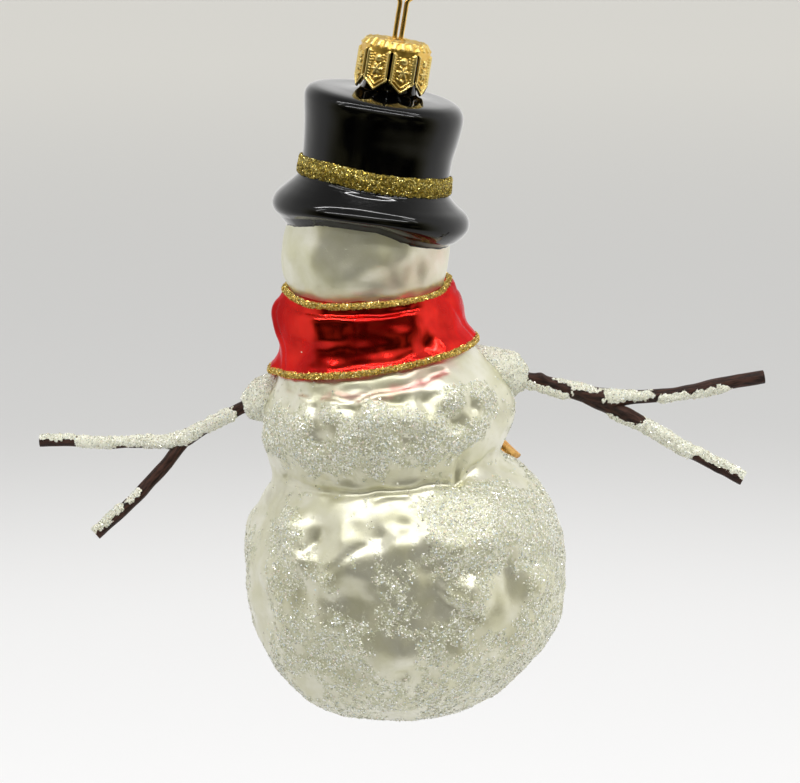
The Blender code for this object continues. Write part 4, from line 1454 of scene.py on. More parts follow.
HAT_BAND = ((72, -39.2), (35, -38.9), (1, -39.3), (-19, -39.3), (-68, -39.2), (180, -39.2))
# How far the underside of the brim is rolled up: azimuth and rise.
BRIM_ROLL = (
    (-180, 0.3), (-100, 0.1), (-60, 0.2), (-44, 0.5), (-31, 1), (-22, 1.5), (-15, 2), (-6, 2.6),
    (12, 2.6), (22, 2.5), (32, 2.3), (46, 1.6), (60, 0.8), (80, 0.3), (180, 0.3),
)
# Lower edge of the hat's paint on the head: azimuth, and drop below the brim's foot.
PAINT_EDGE = (
    (-180, 0.2), (-120, 0.3), (-80, 0.5), (-62, 0.6), (-47, 0.3), (-31, 0.6), (-15, 0.4), (-6, 0.2),
    (12, 0.3), (20, 0.4), (28, 0.5), (30, 0.05), (33, 0.5), (46, 0.4), (62, 0.4), (90, 0.4), (180, 0.2),
)


@dataclass
class TopHat:
    """The top hat of black enamel, with its band of gold glitter."""

    profile: Profile = HAT_PROFILE
    rows: int = 156
    columns: int = 256
    paint: float = 0.07     # thickness of the enamel where it ends on the head
    brim_foot: float = -50.4
    # places where the enamel is thin: azimuth, height, strength and reach
    scrapes: Rows = ((-34, -48.9, 1.0, 0.9), (-40, -48.9, 1.0, 1.0), (-46, -48.9, 1.0, 0.9))

    def build(self, finishes: Finishes) -> None:
        """Make the hat, the paint's edge on the head, and the band.

        Args:
            finishes: The finishes to dress them in.
        """
        azimuth = np.arange(self.columns) * TURN / self.columns
        roll = np.interp(azimuth, *np.array(BRIM_ROLL).T, period=TURN)
        station = np.linspace(0.0, len(self.profile.rings) - 1, self.rows)[:, None]
        share = np.interp(station, (0.0, 2.0, 3.0, 4.0, 5.0), (1.0, 1.0, 0.5, 0.12, 0.0))
        points = self.profile.skin(self.rows, self.columns).points + UP * (roll[None] * share)[..., None]
        uneven = 0.08 * noise_at(points, 6.5, 1.0) + 0.012 * noise_at(points, 2.4, 6.0)
        free = ease((-25.5 - points[..., 2]) / 3.0) * 0.8 + 0.2
        hat = Skin(points).raised(uneven * free)
        drop = np.interp(azimuth, *np.array(PAINT_EDGE).T, period=TURN)
        drop = drop - roll + 0.12 * noise_at(points[0], 1.2, 2.0)
        height = self.brim_foot - drop[None] + np.array((0.0, 0.02, 0.3, 0.5))[:, None]
        station = SNOW_PROFILE.station(height)
        outward = np.array((-0.15, self.paint, self.paint + 0.03, self.paint + 0.04))[:, None]
        edge = SNOW_PROFILE.points(station, np.broadcast_to(azimuth, station.shape), outward)
        whole = Skin(np.concatenate((edge, hat.points[1:])))
        scraped = self.profile.lumps(whole.points, self.scrapes)
        ragged = 0.5 * noise_at(whole.points, 0.9, 3.0)
        scraped = ease((scraped + ragged - 0.35) / 0.3) * (scraped > 0.1)
        whole.piece("top_hat", finishes.black, "glass_figure", scraped=scraped)
        GlitterBand("hat_band", self.profile, HAT_BAND, 1.66, 0.5, 9800, 41, pinch=4.0).build(finishes)


@dataclass
class Face:
    """The raised and painted features of the front: eyes, smile, carrot nose and buttons."""

    profile: Profile = SNOW_PROFILE
    eye_azimuth: float = 19.0
    eye_height: float = -53.0
    coal_size: tuple[float, ...] = (1.2, 1.2, 1.2)      # across, up and out
    smile: Rows = (
        (154, -57.2), (161, -58.3), (169, -59), (177, -59.3), (185, -59.1), (193, -58.5), (200, -57.5),
    )
    smile_size: tuple[float, ...] = (0.5, 0.5, 0.45)
    buttons: Rows = ((176.0, -84.0), (174.0, -91.0), (174.0, -106.0))
    button_size: tuple[float, ...] = (1.7, 1.7, 1.3)
    sunk: float = 0.2           # depth of a lump's middle in the glass
    nose_height: float = -56.5
    nose_radius: float = 1.9
    nose_length: float = 7.0
    nose_droop: float = 6.0

    def lump(self, name: str, place: tuple[float, ...], size: tuple[float, ...], skin: Skin, coat: Coat) -> None:
        """Make a rough lump of coal that is half sunk into the glass.

        Args:
            name: Name of the piece.
            place: Its azimuth and height.
            size: Its half sizes across, up and out.
            skin: The glass that it is set in.
            coat: Its finish.
        """
        azimuth, height = place
        ways = facing(azimuth)
        gap = skin.points - self.profile.spot(azimuth, height)
        centre = skin.points.reshape(-1, 3)[(gap * gap).sum(-1).argmin()] - self.sunk * ways[2]
        shape = ball(22, 30, 0.03)
        rough = 1.0 + 0.10 * noise_at(shape * 2.0 + azimuth, 1.0) + 0.04 * noise_at(shape * 5.0 + height, 1.0)
        Skin(centre + (shape * rough[..., None] * np.array(size)) @ ways).piece(name, coat)

    def build(self, body: SnowBody, finishes: Finishes) -> None:
        """Make every feature of the front.

        Args:
            body: The glass that they are set in.
            finishes: The finishes to dress them in.
        """
        for name, azimuth in (("left_eye", FRONT - self.eye_azimuth), ("right_eye", FRONT + self.eye_azimuth)):
            self.lump(name, (azimuth, self.eye_height), self.coal_size, body.skin, finishes.coal)
        for index, place in enumerate(self.smile):
            self.lump(f"smile_{index}", place, self.smile_size, body.skin, finishes.coal)
        for index, place in enumerate(self.buttons):
            self.lump(f"button_{index}", place, self.button_size, body.skin, finishes.coal)
        droop = math.radians(self.nose_droop)
        ahead = np.array((0.0, -math.cos(droop), -math.sin(droop)))
        foot = self.profile.spot(FRONT, self.nose_height, -1.0)
        way = np.linspace(0.0, 1.0, 60)
        taper = np.sqrt(1.0 - way**6) * (1.0 - 0.72 * way)
        rings = 1.0 - 0.05 * np.exp(-(((way * 6.0) % 1.0 - 0.5) * 6.0) ** 2)
        radius = np.maximum(self.nose_radius * taper * rings, 0.02)
        line = foot + way[:, None] * self.nose_length * ahead
        top = np.array((0.0, -math.sin(droop), math.cos(droop)))
        points = line[:, None] + radius[:, None, None] * circles(32, np.array((1.0, 0.0, 0.0)), top)
        oriented(points, line).piece("carrot_nose", finishes.carrot)


# ---------------------------------------------------------------- cap and wire

@dataclass
class CrownCap:
    """The stamped crown cap: a grained disc with a hole, a shoulder and eight pointed petals."""

    petals: int = 8
    turn: float = 5.5           # azimuth of the slit nearest the back
    columns: int = 29           # across one petal
    wall_radius: float = 6.3
    slit: float = 0.36
    slit_drop: float = 16.4
    corner_drop: float = 22.0
    tip_drop: float = 24.0
    sheet: float = 0.3
    emboss: float = 0.46
    flower_drop: float = 19.85
    # the section from the hole down to the slits: radius and drop below the hanging point
    section: Rows = (
        (1.8, 14.55), (2.1, 14.38), (3.6, 14.40), (5, 14.46), (5.6, 14.75),
        (5.95, 15.2), (6.2, 15.7), (6.3, 16.1), (6.3, 16.4),
    )
    section_rows: int = 34
    wall_rows: int = 52

    def stamp(self, across: Array, drop: Array, bottom: Array, edge: Array) -> Array:
        """Work out the raised pattern of a petal.

        Args:
            across: Place across the petal, from its middle.
            drop: Drop of each point.
            bottom: Drop of the petal's lower edge under each point.
            edge: Distance from the petal's side edges.

        Returns:
            The height of the pattern, from 0 to 1.
        """
        def dome(x: float, y: float, radius: float) -> Array:
            """Give a round boss."""
            gap = np.hypot(across - x, drop - y) / radius
            return np.sqrt(np.clip(1.0 - gap * gap, 0.0, 1.0))

        def rib(gap: Array, half: float) -> Array:
            """Give a rounded rib at a distance."""
            return np.sqrt(np.clip(1.0 - (gap / half) ** 2, 0.0, 1.0))

        def leaf(turn: float) -> Array:
            """Give a long lobe that runs out from the flower's middle."""
            x, y = across, drop - self.flower_drop
            ahead = (x * math.sin(turn) + y * math.cos(turn) - 0.72) / 0.62
            aside = (x * math.cos(turn) - y * math.sin(turn)) / 0.27
            return np.sqrt(np.clip(1.0 - ahead**2 - aside**2, 0.0, 1.0))

        low = bottom - drop
        height = np.maximum(rib(edge - 0.28, 0.27), rib(low - 0.34, 0.34))
        height = np.maximum(height, 0.7 * rib(low - 1.15, 0.16) * (np.abs(across) < 1.35))
        height = np.maximum(height, dome(0.0, 17.95, 0.72))
        height = np.maximum(height, 0.95 * dome(0.0, self.flower_drop, 0.34))
        for spoke in range(6):
            height = np.maximum(height, 0.9 * leaf(math.tau * (spoke + 0.5) / 6))
        height = np.maximum(height, 0.85 * dome(0.0, 21.55, 0.42))
        for side in (-1.0, 1.0):
            for step in range(10):
                height = np.maximum(height, 0.65 * dome(side * 1.62, 16.9 + 0.52 * step, 0.2))
            for step in range(3):
                height = np.maximum(height, 0.55 * dome(side * (0.95 + 0.1 * step), 17.3 + 0.55 * step, 0.24))
            height = np.maximum(height, 0.55 * dome(side * 0.8, 21.25, 0.26))
        return height * ease((drop - 16.3) / 0.4)

    def build(self, finishes: Finishes) -> None:
        """Make the cap.

        Args:
            finishes: The finishes to dress it in.
        """
        half_turn = 180.0 / self.petals
        half_slit = math.degrees(self.slit / 2 / self.wall_radius)
        share = np.linspace(-1.0, 1.0, self.columns)
        middle = self.turn + (np.arange(self.petals)[:, None] + 0.5) * 2 * half_turn
        azimuth = middle + share * (half_turn - half_slit)
        azimuth, share = azimuth.reshape(-1), np.tile(share, self.petals)
        upper = through(np.array(self.section), np.linspace(0.0, len(self.section) - 1.0, self.section_rows))
        bottom = self.tip_drop - (self.tip_drop - self.corner_drop) * np.abs(share)
        way = np.linspace(0.0, 1.0, self.wall_rows + 1)[1:, None]
        lower_drop = self.slit_drop + way * (bottom[None] - self.slit_drop)
        radius = np.concatenate((upper[:, :1] * np.ones_like(share), np.full_like(lower_drop, self.wall_radius)))
        drop = np.concatenate((upper[:, 1:] * np.ones_like(share), lower_drop))
        across = np.radians(share * (half_turn - half_slit)) * self.wall_radius
        edge = np.radians((1.0 - np.abs(share)) * (half_turn - half_slit)) * self.wall_radius
        pattern = self.stamp(across[None], drop, bottom[None], edge[None])
        flat = 1.0 / np.cos(np.radians(share * half_turn)) - 1.0
        angle = np.radians(azimuth)[None]
        circle = HANG_SIDE * np.sin(angle)[..., None] + BACK * np.cos(angle)[..., None]
        middle = HANG_DOWN * drop[..., None]
        points = middle + circle * radius[..., None]
        grains = np.clip(noise_at(points, 0.5, 4.0) * 2.4, 0.0, 1.0) * (drop < 15.2)
        beads = np.clip(np.sin(np.radians(azimuth) * 24.0)[None] * 1.6, 0.0, 1.0) * ease((drop - 14.5) / 0.3)
        beads = beads * ease((16.0 - drop) / 0.3)
        pattern = np.maximum(pattern, np.maximum(0.9 * grains, 0.75 * beads))
        wall = ease((drop - 15.2) / 0.8)
        radius = radius * (1.0 + 0.4 * flat * wall) + self.emboss * pattern * (0.4 + 0.6 * wall)
        top = (1.0 - wall) * 0.22 * pattern
        points = HANG_DOWN * (drop - top)[..., None] + circle * radius[..., None]
        cap = make_piece("crown_cap", points.reshape(-1, 3), self.faces(*drop.shape), finishes.cap)
        add_values(cap, "stamped", pattern)
        thick = cap.modifiers.new("sheet", "SOLIDIFY")
        thick.thickness = self.sheet * MM
        thick.offset = -1.0
        settle(cap, finishes.cap, "cap")

    def faces(self, rows: int, columns: int) -> list[tuple[int, ...]]:
        """List the cap's faces, with the slits left open.

        Args:
            rows: Number of rows from the hole to the tips.
            columns: Number of columns round the cap.

        Returns:
            The corner numbers of each face.
        """
        faces = []
        for column in range(columns):
            after = (column + 1) % columns
            last = self.section_rows - 1 if after % self.columns == 0 else rows - 1
            for row in range(last):
                low = row * columns
                faces.append((low + column, low + after, low + columns + after, low + columns + column))
        return faces


@dataclass
class HangingWire:
    """The bent wire: two legs that spring apart inside the neck, and an eye above."""

    radius: float = 0.45
    eye_radius: float = 3.6
    # one leg from its foot up to the eye: distance from the hanging axis, and drop
    leg: tuple[Pair, ...] = (
        (2.85, 25), (2.85, 22), (1.9, 19), (0.95, 17), (0.62, 15.6), (0.62, 12.5), (0.62, 9.6),
        (0.62, 7.7), (0.8, 7.1), (1.25, 6.6), (1.95, 6.1), (2.65, 5.5), (3.2, 4.75), (3.5, 3.9),
    )
    sides: int = 20

    def build(self, finishes: Finishes) -> None:
        """Make the wire.

        Args:
            finishes: The finishes to dress it in.
        """
        middle = self.eye_radius - self.radius
        turns = np.linspace(0.0, math.pi, 15)
        eye = [(self.eye_radius * math.cos(turn), middle - self.eye_radius * math.sin(turn)) for turn in turns]
        marks = np.array((*self.leg, *eye, *[(-side, drop) for side, drop in reversed(self.leg)]))
        marks = through(marks, np.linspace(0.0, len(marks) - 1.0, 300))
        line = marks[:, :1] * HANG_SIDE + marks[:, 1:] * HANG_DOWN
        ahead = unit(np.gradient(line, axis=0))
        side = unit(np.cross(ahead, BACK))
        worn = 1.0 + 0.02 * noise_at(line, 1.5)
        points = line[:, None] + circles(self.sides, side, BACK) * (self.radius * worn)[:, None, None]
        oriented(points, line).piece("hanging_wire_bent", finishes.wire, "hanging_wire")


# ---------------------------------------------------------------- twigs and paste

@dataclass(frozen=True)
class Crust:
    """A stretch of snow on a twig, from one x to another, round an angle from the twig's top."""

    start: float
    end: float
    angle: float            # 0 is the top, 90 the back and 180 the underside
    half_angle: float
    thickness: float = 0.42


@dataclass
class Twig:
    """A cut twig: bark over a bent line, and the snow that sticks to it."""

    name: str
    line: Rows     # x, y, z and radius
    snow: tuple[Crust, ...]
    bumps: Rows    # x, angle, rise and reach of buds and knots
    seed: int
    chips: int
    sides: int = 48
    pitch: float = 0.16     # spacing of the rows

    def build(self, finishes: Finishes) -> None:
        """Make the bark and its snow.

        Args:
            finishes: The finishes to dress them in.
        """
        marks = np.array(self.line)
        length = np.linalg.norm(np.diff(marks[:, :3], axis=0), axis=1).sum()
        rows = int(length / self.pitch)
        marks = through(marks, np.linspace(0.0, len(marks) - 1.0, rows))
        middle, radius = marks[:, :3], marks[:, 3]
        ahead = unit(np.gradient(middle, axis=0))
        back = unit(np.cross(ahead, UP)) * np.sign(np.cross(ahead, UP)[:, 1:2])
        top = unit(UP - ahead * ahead[:, 2:])
        circle = circles(self.sides, top, back)
        angle = np.arange(self.sides) * TURN / self.sides
        turn = np.radians(angle)
        travel = np.concatenate(((0.0,), np.cumsum(np.linalg.norm(np.diff(middle, axis=0), axis=1))))
        parts = (radius[:, None] * np.cos(turn), radius[:, None] * np.sin(turn), travel[:, None])
        flat = np.stack(np.broadcast_arrays(*parts), axis=-1)
        rise = self.bark_relief(flat, middle, angle)
        surface = middle[:, None] + circle * (radius[:, None] + rise)[..., None]
        bark = self.with_ends(surface, middle)
        skin = oriented(bark, np.concatenate((middle[:1], middle, middle[-1:])))
        padded = np.concatenate((flat[:1] * 0.4, flat, flat[-1:] * 0.4 + (0.0, 0.0, 0.6 * travel[-1])))
        flipped = padded if skin.points is bark else padded[:, ::-1]
        ends = np.zeros(bark.shape[:2])
        ends[[0, -1]] = 1.0
        skin.piece(f"{self.name}_bark", finishes.bark, self.name, bark=flipped, cut=ends)
        self.build_snow(surface, middle, circle, angle, finishes)

    def bark_relief(self, flat: Array, middle: Array, angle: Array) -> Array:
        """Work out the bark's furrows, buds and knots.

        Args:
            flat: Place of each point in the twig's own round and length.
            middle: The twig's line.
            angle: Angle of each column.

        Returns:
            A rise for each point.
        """
        stretched = flat * np.array((1.0, 1.0, 0.14))
        rise = 0.07 * noise_at(stretched, 0.7, self.seed) + 0.10 * noise_at(flat, 2.5, self.seed + 5.0)
        rise = rise - 0.05 * np.clip(noise_at(stretched, 0.35, self.seed + 9.0), 0.0, 1.0)
        for place, turn, height, reach in self.bumps:
            way = (middle[:, 0] - place)[:, None]
            around = ((angle[None] - turn + 180.0) % TURN - 180.0) / 180.0 * math.pi * 1.25
            rise = rise + height * np.exp(-(way**2 + around**2) / reach**2)
        return rise

    @staticmethod
    def with_ends(surface: Array, middle: Array) -> Array:
        """Add a small ring inside each cut end, so that its face is flat and its edge crisp."""
        first = middle[0] + (surface[0] - middle[0]) * 0.4
        last = middle[-1] + (surface[-1] - middle[-1]) * 0.4
        return np.concatenate((first[None], surface, last[None]))

    def build_snow(
        self,
        surface: Array,
        middle: Array,
        circle: Array,
        angle: Array,
        finishes: Finishes,
    ) -> None:
        """Make the snow that sticks to the twig, with glitter on it.

        Args:
            surface: The bark's points.
            middle: The twig's line.
            circle: Outward direction at each point.
            angle: Angle of each column.
            finishes: The finishes.
        """
        ragged = 0.9 * noise_at(surface, 2.2, self.seed + 1.0) + 0.8 * noise_at(surface, 0.7, self.seed + 2.0)
        depth = np.full(surface.shape[:2], -1.0)
        for crust in self.snow:
            low, high = sorted((crust.start, crust.end))
            x = middle[:, :1]
            ends = np.minimum(x - low, high - x) + 0.9 * ragged
            around = np.abs((angle[None] - crust.angle + 180.0) % TURN - 180.0)
            sides = (crust.half_angle - around) / 45.0 * 1.25 + 0.8 * ragged
            inside = 1.6 - np.hypot(1.6 - np.minimum(ends, 1.6), 1.6 - np.minimum(sides, 1.6))
            depth = np.maximum(depth, ease((inside + 0.1) / 1.5) * crust.thickness - 0.15 * (inside < 0.0))
        lumpy = 1.0 + 0.5 * noise_at(surface, 1.3, self.seed + 3.0) + 0.35 * noise_at(surface, 0.5, self.seed + 4.0)
        rise = np.where(depth > 0.0, depth * lumpy + 0.03, np.maximum(depth, -0.15))
        points = surface + circle * rise[..., None]
        skin = oriented(points, middle)
        shown = depth > 0.0 if skin.points is points else (depth > 0.0)[:, ::-1]
        skin.piece(f"{self.name}_snow", finishes.paste, kept=shown)
        chips = Chips(size=0.2, tilt=65.0, seed=self.seed)
        chips.strew(f"{self.name}_glitter", skin, shown.astype(float), self.chips, finishes.snow_chips)


@dataclass
class ShoulderSnow:
    """A cone of snow paste that holds a twig to the glass."""

    name: str
    line: Rows     # the first points of the twig
    profile: tuple[Pair, ...]    # distance out from the glass, and radius
    seed: int
    chips: int
    sides: int = 120
    rows: int = 90

    def build(self, body: SnowBody, finishes: Finishes) -> None:
        """Make the cone and its glitter.

        Args:
            body: The glass that it sits on.
            finishes: The finishes to dress it in.
        """
        start = np.array(self.line[0][:3])
        out = unit(np.array(self.line[1][:3]) - start)
        across = unit(np.cross(BACK, out))
        glass = BVHTree.FromPolygons(body.skin.points.reshape(-1, 3).tolist(), body.skin.faces())
        circle = circles(self.sides, across, np.cross(out, across))

        def foot(radius: float) -> Array:
            """Find how far out the glass is under each point of a ring."""
            reach = []
            for side in circle:
                origin = start + side * radius + out * 20.0
                hit = glass.ray_cast(Vector(origin), Vector(-out))[3]
                reach.append(20.0 - hit if hit is not None else 0.0)
            return np.array(reach)

        widest = self.profile[0][1]
        face = float(foot(0.05).mean())
        rim = foot(widest)
        marks = np.array(((0.0, widest), *self.profile, (self.profile[-1][0] + 0.15, 1.5)))
        marks = through(marks, np.linspace(0.0, len(marks) - 1.0, self.rows))
        share = ease((self.profile[0][0] * 1.4 - marks[:, 0]) / (self.profile[0][0] * 1.4))
        distance = face + marks[:, :1] * np.ones(self.sides)
        distance = distance * (1 - share[:, None]) + (rim + marks[:, :1] + 0.05) * share[:, None]
        centre = start + distance[..., None] * out
        points = centre + circle[None] * marks[:, 1:2, None]
        inner = start + (face - 1.5) * out + circle[None] * 0.6
        under = start + (rim + 0.02)[None, :, None] * out + circle[None] * (widest * 0.96)
        points = np.concatenate((inner, under, points))
        rough = 0.22 * noise_at(points, 1.6, self.seed) + 0.12 * noise_at(points, 0.6, self.seed + 3.0)
        rough[:2] = 0.0
        skin = oriented(points, np.concatenate((centre.mean(axis=1)[:1], centre.mean(axis=1)[:1], centre.mean(axis=1))))
        skin = skin.raised(rough if skin.points is points else rough[:, ::-1])
        skin.piece(f"{self.name}_paste", finishes.paste, self.name)
        shown = np.ones(points.shape[:2])
        shown[:3] = 0.0
        chips = Chips(size=0.21, tilt=65.0, seed=self.seed)
        chips.strew(f"{self.name}_glitter", skin, shown, self.chips, finishes.snow_chips)


def twigs() -> list[Twig]:
    """List the four twigs with their snow."""
    return [
        Twig(
            "left_arm",
            (
                (30.2, -5, -84.3, 1.2), (32.4, -5, -85.1, 1.2), (34.5, -5.2, -86.3, 1.2),
                (39.6, -5.8, -89.2, 1.2), (43.4, -6.2, -91.2, 1.35), (47.2, -6.6, -92, 1.15),
                (52.1, -7.2, -92.2, 1.1), (57.5, -7.8, -92.5, 1.05), (62.2, -8.2, -92.4, 1.05),
                (65.8, -8.6, -92.2, 1.1), (71.6, -9, -92.4, 1.05),
            ),
            (
                Crust(33.6, 40.0, 75.0, 105.0, 0.42),
                Crust(38.5, 46.0, 50.0, 88.0, 0.40),
                Crust(44.0, 51.5, 60.0, 100.0, 0.36),
                Crust(50.0, 58.0, 45.0, 78.0, 0.28),
                Crust(56.5, 64.8, 60.0, 100.0, 0.32),
                Crust(63.5, 72.5, 15.0, 58.0, 0.28),
            ),
            ((43.5, 150, 0.35, 1.6), (66, 20, 0.12, 1)),
            51,
            3600,
        ),
        Twig(
            "left_arm_branch",
            (
                (42.6, -6.5, -90.8, 1), (43.2, -6.3, -91.4, 1.15), (46.2, -5.2, -95.2, 1.2), (49.2, -4.2, -98.5, 1.2),
                (52.3, -3, -101.7, 1.2), (55.8, -1.6, -105, 1.15), (60.2, 0, -108.7, 1.15),
            ),
            (Crust(51.2, 54.4, 35.0, 46.0, 0.3), Crust(54.0, 61.2, 15.0, 60.0, 0.34)),
            ((46, 60, 0.10, 0.9), (50.4, 100, 0.12, 0.8)),
            61,
            1200,
        ),
        Twig(
            "right_arm",
            (
                (-19.2, -3, -78.3, 1.2), (-21.6, -3, -78.7, 1.25), (-25.8, -3, -79.7, 1.35),
                (-29.9, -3.2, -80.9, 1.5), (-34.5, -3.4, -82.1, 1.7), (-38.7, -3.6, -82.7, 1.6),
                (-43.3, -3.8, -82.6, 1.35), (-47.2, -4.2, -82.5, 1.3), (-51.4, -4.7, -82.1, 1.25),
                (-55.7, -5.2, -81.3, 1.3), (-60.9, -5.6, -80.2, 1.3), (-68, -6, -79.1, 1.3),
            ),
            (
                Crust(-19.0, -31.5, 170.0, 68.0, 0.6),
                Crust(-27.6, -34.5, 8.0, 38.0, 0.34),
                Crust(-30.0, -38.5, 40.0, 20.0, 0.2),
                Crust(-36.6, -47.0, 58.0, 52.0, 0.36),
                Crust(-47.5, -54.0, 120.0, 52.0, 0.34),
                Crust(-53.0, -61.3, 150.0, 62.0, 0.4),
            ),
            ((-24.6, 40, 0.75, 1), (-38, 140, 0.7, 2.4), (-35, 200, 0.3, 1.4), (-63, 60, 0.1, 1)),
            71,
            2800,
        ),
        Twig(
            "right_arm_branch",
            (
                (-33.2, -3.3, -82.2, 1), (-34, -3.3, -82.6, 1.3), (-39.4, -3, -85, 1.4), (-43.3, -2.4, -86.8, 1.35),
                (-46.9, -1.8, -88.8, 1.3), (-49.9, -1, -90.5, 1.3), (-52.9, -0.4, -92.1, 1.25),
                (-56.3, 0.4, -93.8, 1.25), (-59.5, 1.2, -95.4, 1.25), (-63.5, 2, -97.4, 1.25),
            ),
            (
                Crust(-38.5, -47.0, 165.0, 48.0, 0.4),
                Crust(-44.5, -54.5, 90.0, 100.0, 0.38),
                Crust(-53.0, -64.5, 25.0, 62.0, 0.36),
            ),
            ((-41, 60, 0.3, 1.4), (-59, 140, 0.1, 0.8)),
            81,
            2400,
        ),
    ]


def shoulders() -> list[ShoulderSnow]:
    """List the two cones of snow paste."""
    left, right = twigs()[0].line[:2], twigs()[2].line[:2]
    return [
        ShoulderSnow("left_shoulder_snow", left, ((1.2, 4.5), (2.8, 3.8), (4.2, 2.9), (5.2, 2.35)), 91, 3200),
        ShoulderSnow("right_shoulder_snow", right, ((1.5, 4.7), (3.0, 4.2), (4.3, 2.9), (5.2, 2.0)), 95, 3600),
    ]


# ---------------------------------------------------------------- studio

@dataclass(frozen=True)
class Tent:
    """The soft white tent round the ornament, open on the side towards the camera.

    Angles are in degrees. Bearings run from +Y either way, and heights from the level.
    """

    below: float = 0.66
    level: float = 0.80
    above: float = 0.36
    opening: Pair = (0.015, 0.24)     # the room seen through it, darkest and lightest
    sides: Pair = (1.22, 0.94)           # share of the light at the -X and the +X side
    tint: Colour = (1.0, 0.995, 0.98)
    room_tint: Colour = (1.0, 0.93, 0.47)
    half_width: Pair = (52.0, 92.0)      # the opening's edge fades between the two
    top: Pair = (24.0, 46.0)
    bottom: Pair = (-20.0, -42.0)

    def build(self) -> None:
        """Make the world."""
        world = bpy.data.worlds.new("soft_tent")
        world.use_nodes = True
        board = Board(world.node_tree)
        place = board.add("TexCoord").outputs["Generated"]
        way = board.add("SeparateXYZ", in_0=place)
        height = board.sum("MULTIPLY", board.sum("ARCSINE", way.outputs[2], 0.0), math.degrees(1.0))
        bearing = board.sum("ARCTAN2", way.outputs[0], way.outputs[1])
        bearing = board.sum("MULTIPLY", board.sum("ABSOLUTE", bearing, 0.0), math.degrees(1.0))
        inside = board.between(bearing, *self.half_width, (1.0, 0.0))
        under = board.between(height, *self.top, (1.0, 0.0))
        over = board.between(height, *reversed(self.bottom))
        dark = board.sum("MULTIPLY", inside, board.sum("MULTIPLY", under, over))
        wall = board.between(height, -50.0, 0.0, (self.below, self.level))
        roof = board.between(height, 15.0, 75.0, (0.0, self.above - self.level))
        side = board.between(way.outputs[0], -1.0, 1.0, self.sides)
        light = board.sum("MULTIPLY", board.sum("ADD", wall, roof), side)
        room = board.between(board.noise(place, 2.6, 2.0), 0.44, 0.66, self.opening)
        room = board.sum("MULTIPLY", room, board.between(height, -16.0, 2.0, (0.2, 1.0)))
        strength = board.add("Mix", data_type="FLOAT", in_0=dark, in_2=light, in_3=room)
        sky = world.node_tree.nodes["Background"]
        board.fill(sky, Color=board.mix(dark, self.tint, self.room_tint), Strength=strength.outputs[0])
        bpy.context.scene.world = world


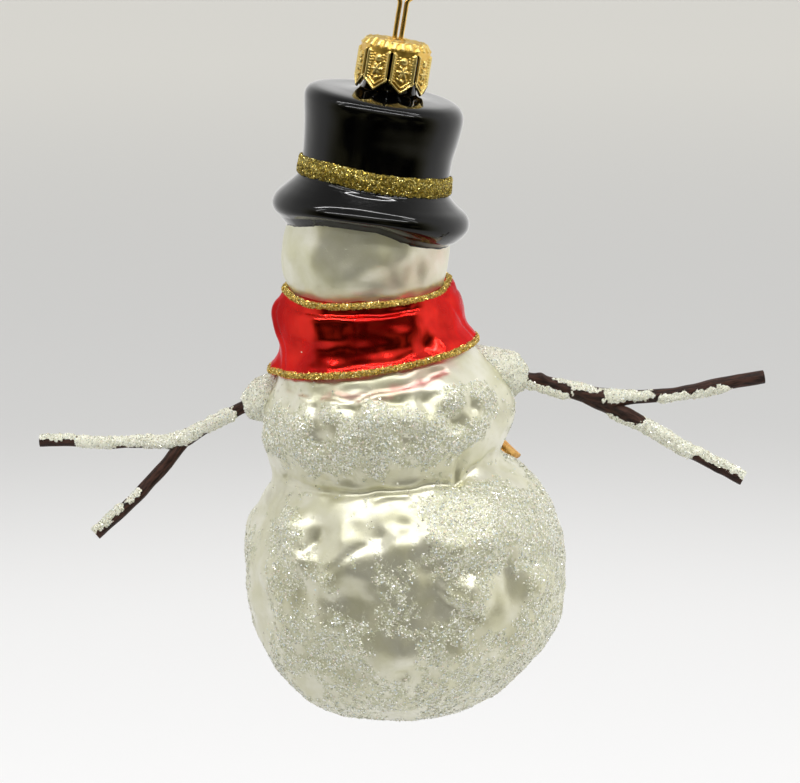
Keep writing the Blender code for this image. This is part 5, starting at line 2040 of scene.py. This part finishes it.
@dataclass
class Studio:
    """Pale paper floor, the tent, a lamp overhead and a frame of thin lamps."""

    floor_height: float = -0.26
    floor_size: float = 12.0
    tent: Tent = Tent()
    fill: float = 0.92          # watts on a square metre, from above
    fill_spread: float = 80.0
    fill_tilt: float = -20.0
    fill_tint: Colour = (1.0, 0.975, 0.90)
    # the thin lamps: name, place, size and watts
    lamps: tuple[tuple, ...] = (
        ("frame_near", (0.0, 0.46, 0.56), (1.3, 0.016), 2.5),
        ("frame_far", (0.0, 0.14, 0.72), (1.3, 0.016), 2.5),
        ("frame_left", (0.65, 0.30, 0.64), (0.03, 0.36), 0.2),
        ("frame_right", (-0.65, 0.30, 0.64), (0.03, 0.36), 0.2),
    )
    aim: tuple[float, ...] = (0.0, 0.0, -0.08)
    camera_place: tuple[float, ...] = (0.001847, 0.539895, 0.024143)
    camera_tilt: tuple[float, ...] = (79.0, 0.0, 180.0)
    lens: float = 130.26
    sensor: float = 36.0

    @staticmethod
    def put(name: str, data: ID, place: tuple[float, ...] = (0.0, 0.0, 0.0)) -> Object:
        """Put a floor, a lamp or a camera into the scene at a place in metres."""
        thing = bpy.data.objects.new(name, data)
        thing.location = place
        bpy.context.scene.collection.objects.link(thing)
        return thing

    def lamp(self, name: str, place: tuple[float, ...], size: Pair, power: float) -> None:
        """Place an area lamp that shines at the ornament.

        Args:
            name: Name of the lamp.
            place: Its place in metres.
            size: Its width and height in metres.
            power: Its power in watts.
        """
        light = bpy.data.lights.new(name, "AREA")
        light.shape = "RECTANGLE"
        light.size, light.size_y = size
        light.energy = power
        lamp = self.put(name, light, place)
        lamp.rotation_euler = (Vector(self.aim) - Vector(place)).to_track_quat("-Z", "Y").to_euler()
        lamp.visible_camera = False

    def build(self, finishes: Finishes) -> None:
        """Set the floor, the light and the camera.

        Args:
            finishes: The finishes, for the paper.
        """
        scene = bpy.context.scene
        scene.view_settings.view_transform = "Standard"
        half = self.floor_size / 2
        mesh = bpy.data.meshes.new("paper_floor")
        corners = [(-half, -half, 0.0), (half, -half, 0.0), (half, half, 0.0), (-half, half, 0.0)]
        mesh.from_pydata(corners, [], [(0, 1, 2, 3)])
        mesh.materials.append(finishes.paper.material)
        floor = self.put("paper_floor", mesh, (0.0, 0.0, self.floor_height))
        floor.visible_glossy = False
        self.tent.build()
        for lamp in self.lamps:
            self.lamp(*lamp)
        sun = bpy.data.lights.new("soft_fill", "SUN")
        sun.energy = self.fill
        sun.color = self.fill_tint
        sun.angle = math.radians(self.fill_spread)
        fill = self.put("soft_fill", sun)
        fill.rotation_euler = (math.radians(self.fill_tilt), 0.0, 0.0)
        fill.visible_glossy = False
        camera = bpy.data.cameras.new("camera")
        camera.lens = self.lens
        camera.sensor_width = self.sensor
        camera.sensor_fit = "HORIZONTAL"
        camera.clip_start, camera.clip_end = 0.01, 50.0
        viewer = self.put("camera", camera, self.camera_place)
        viewer.rotation_euler = [math.radians(turn) for turn in self.camera_tilt]
        scene.camera = viewer


def main() -> None:
    """Build the ornament piece by piece and set the studio."""
    logging.basicConfig(level=logging.INFO, format="%(name)s %(message)s")
    finishes = Finishes()
    body = SnowBody()
    body.build(finishes)
    Scarf().build(finishes)
    TopHat().build(finishes)
    Face().build(body, finishes)
    CrownCap().build(finishes)
    HangingWire().build(finishes)
    for twig in twigs():
        twig.build(finishes)
    for shoulder in shoulders():
        shoulder.build(body, finishes)
    Studio().build(finishes)


if __name__ == "__main__":
    main()
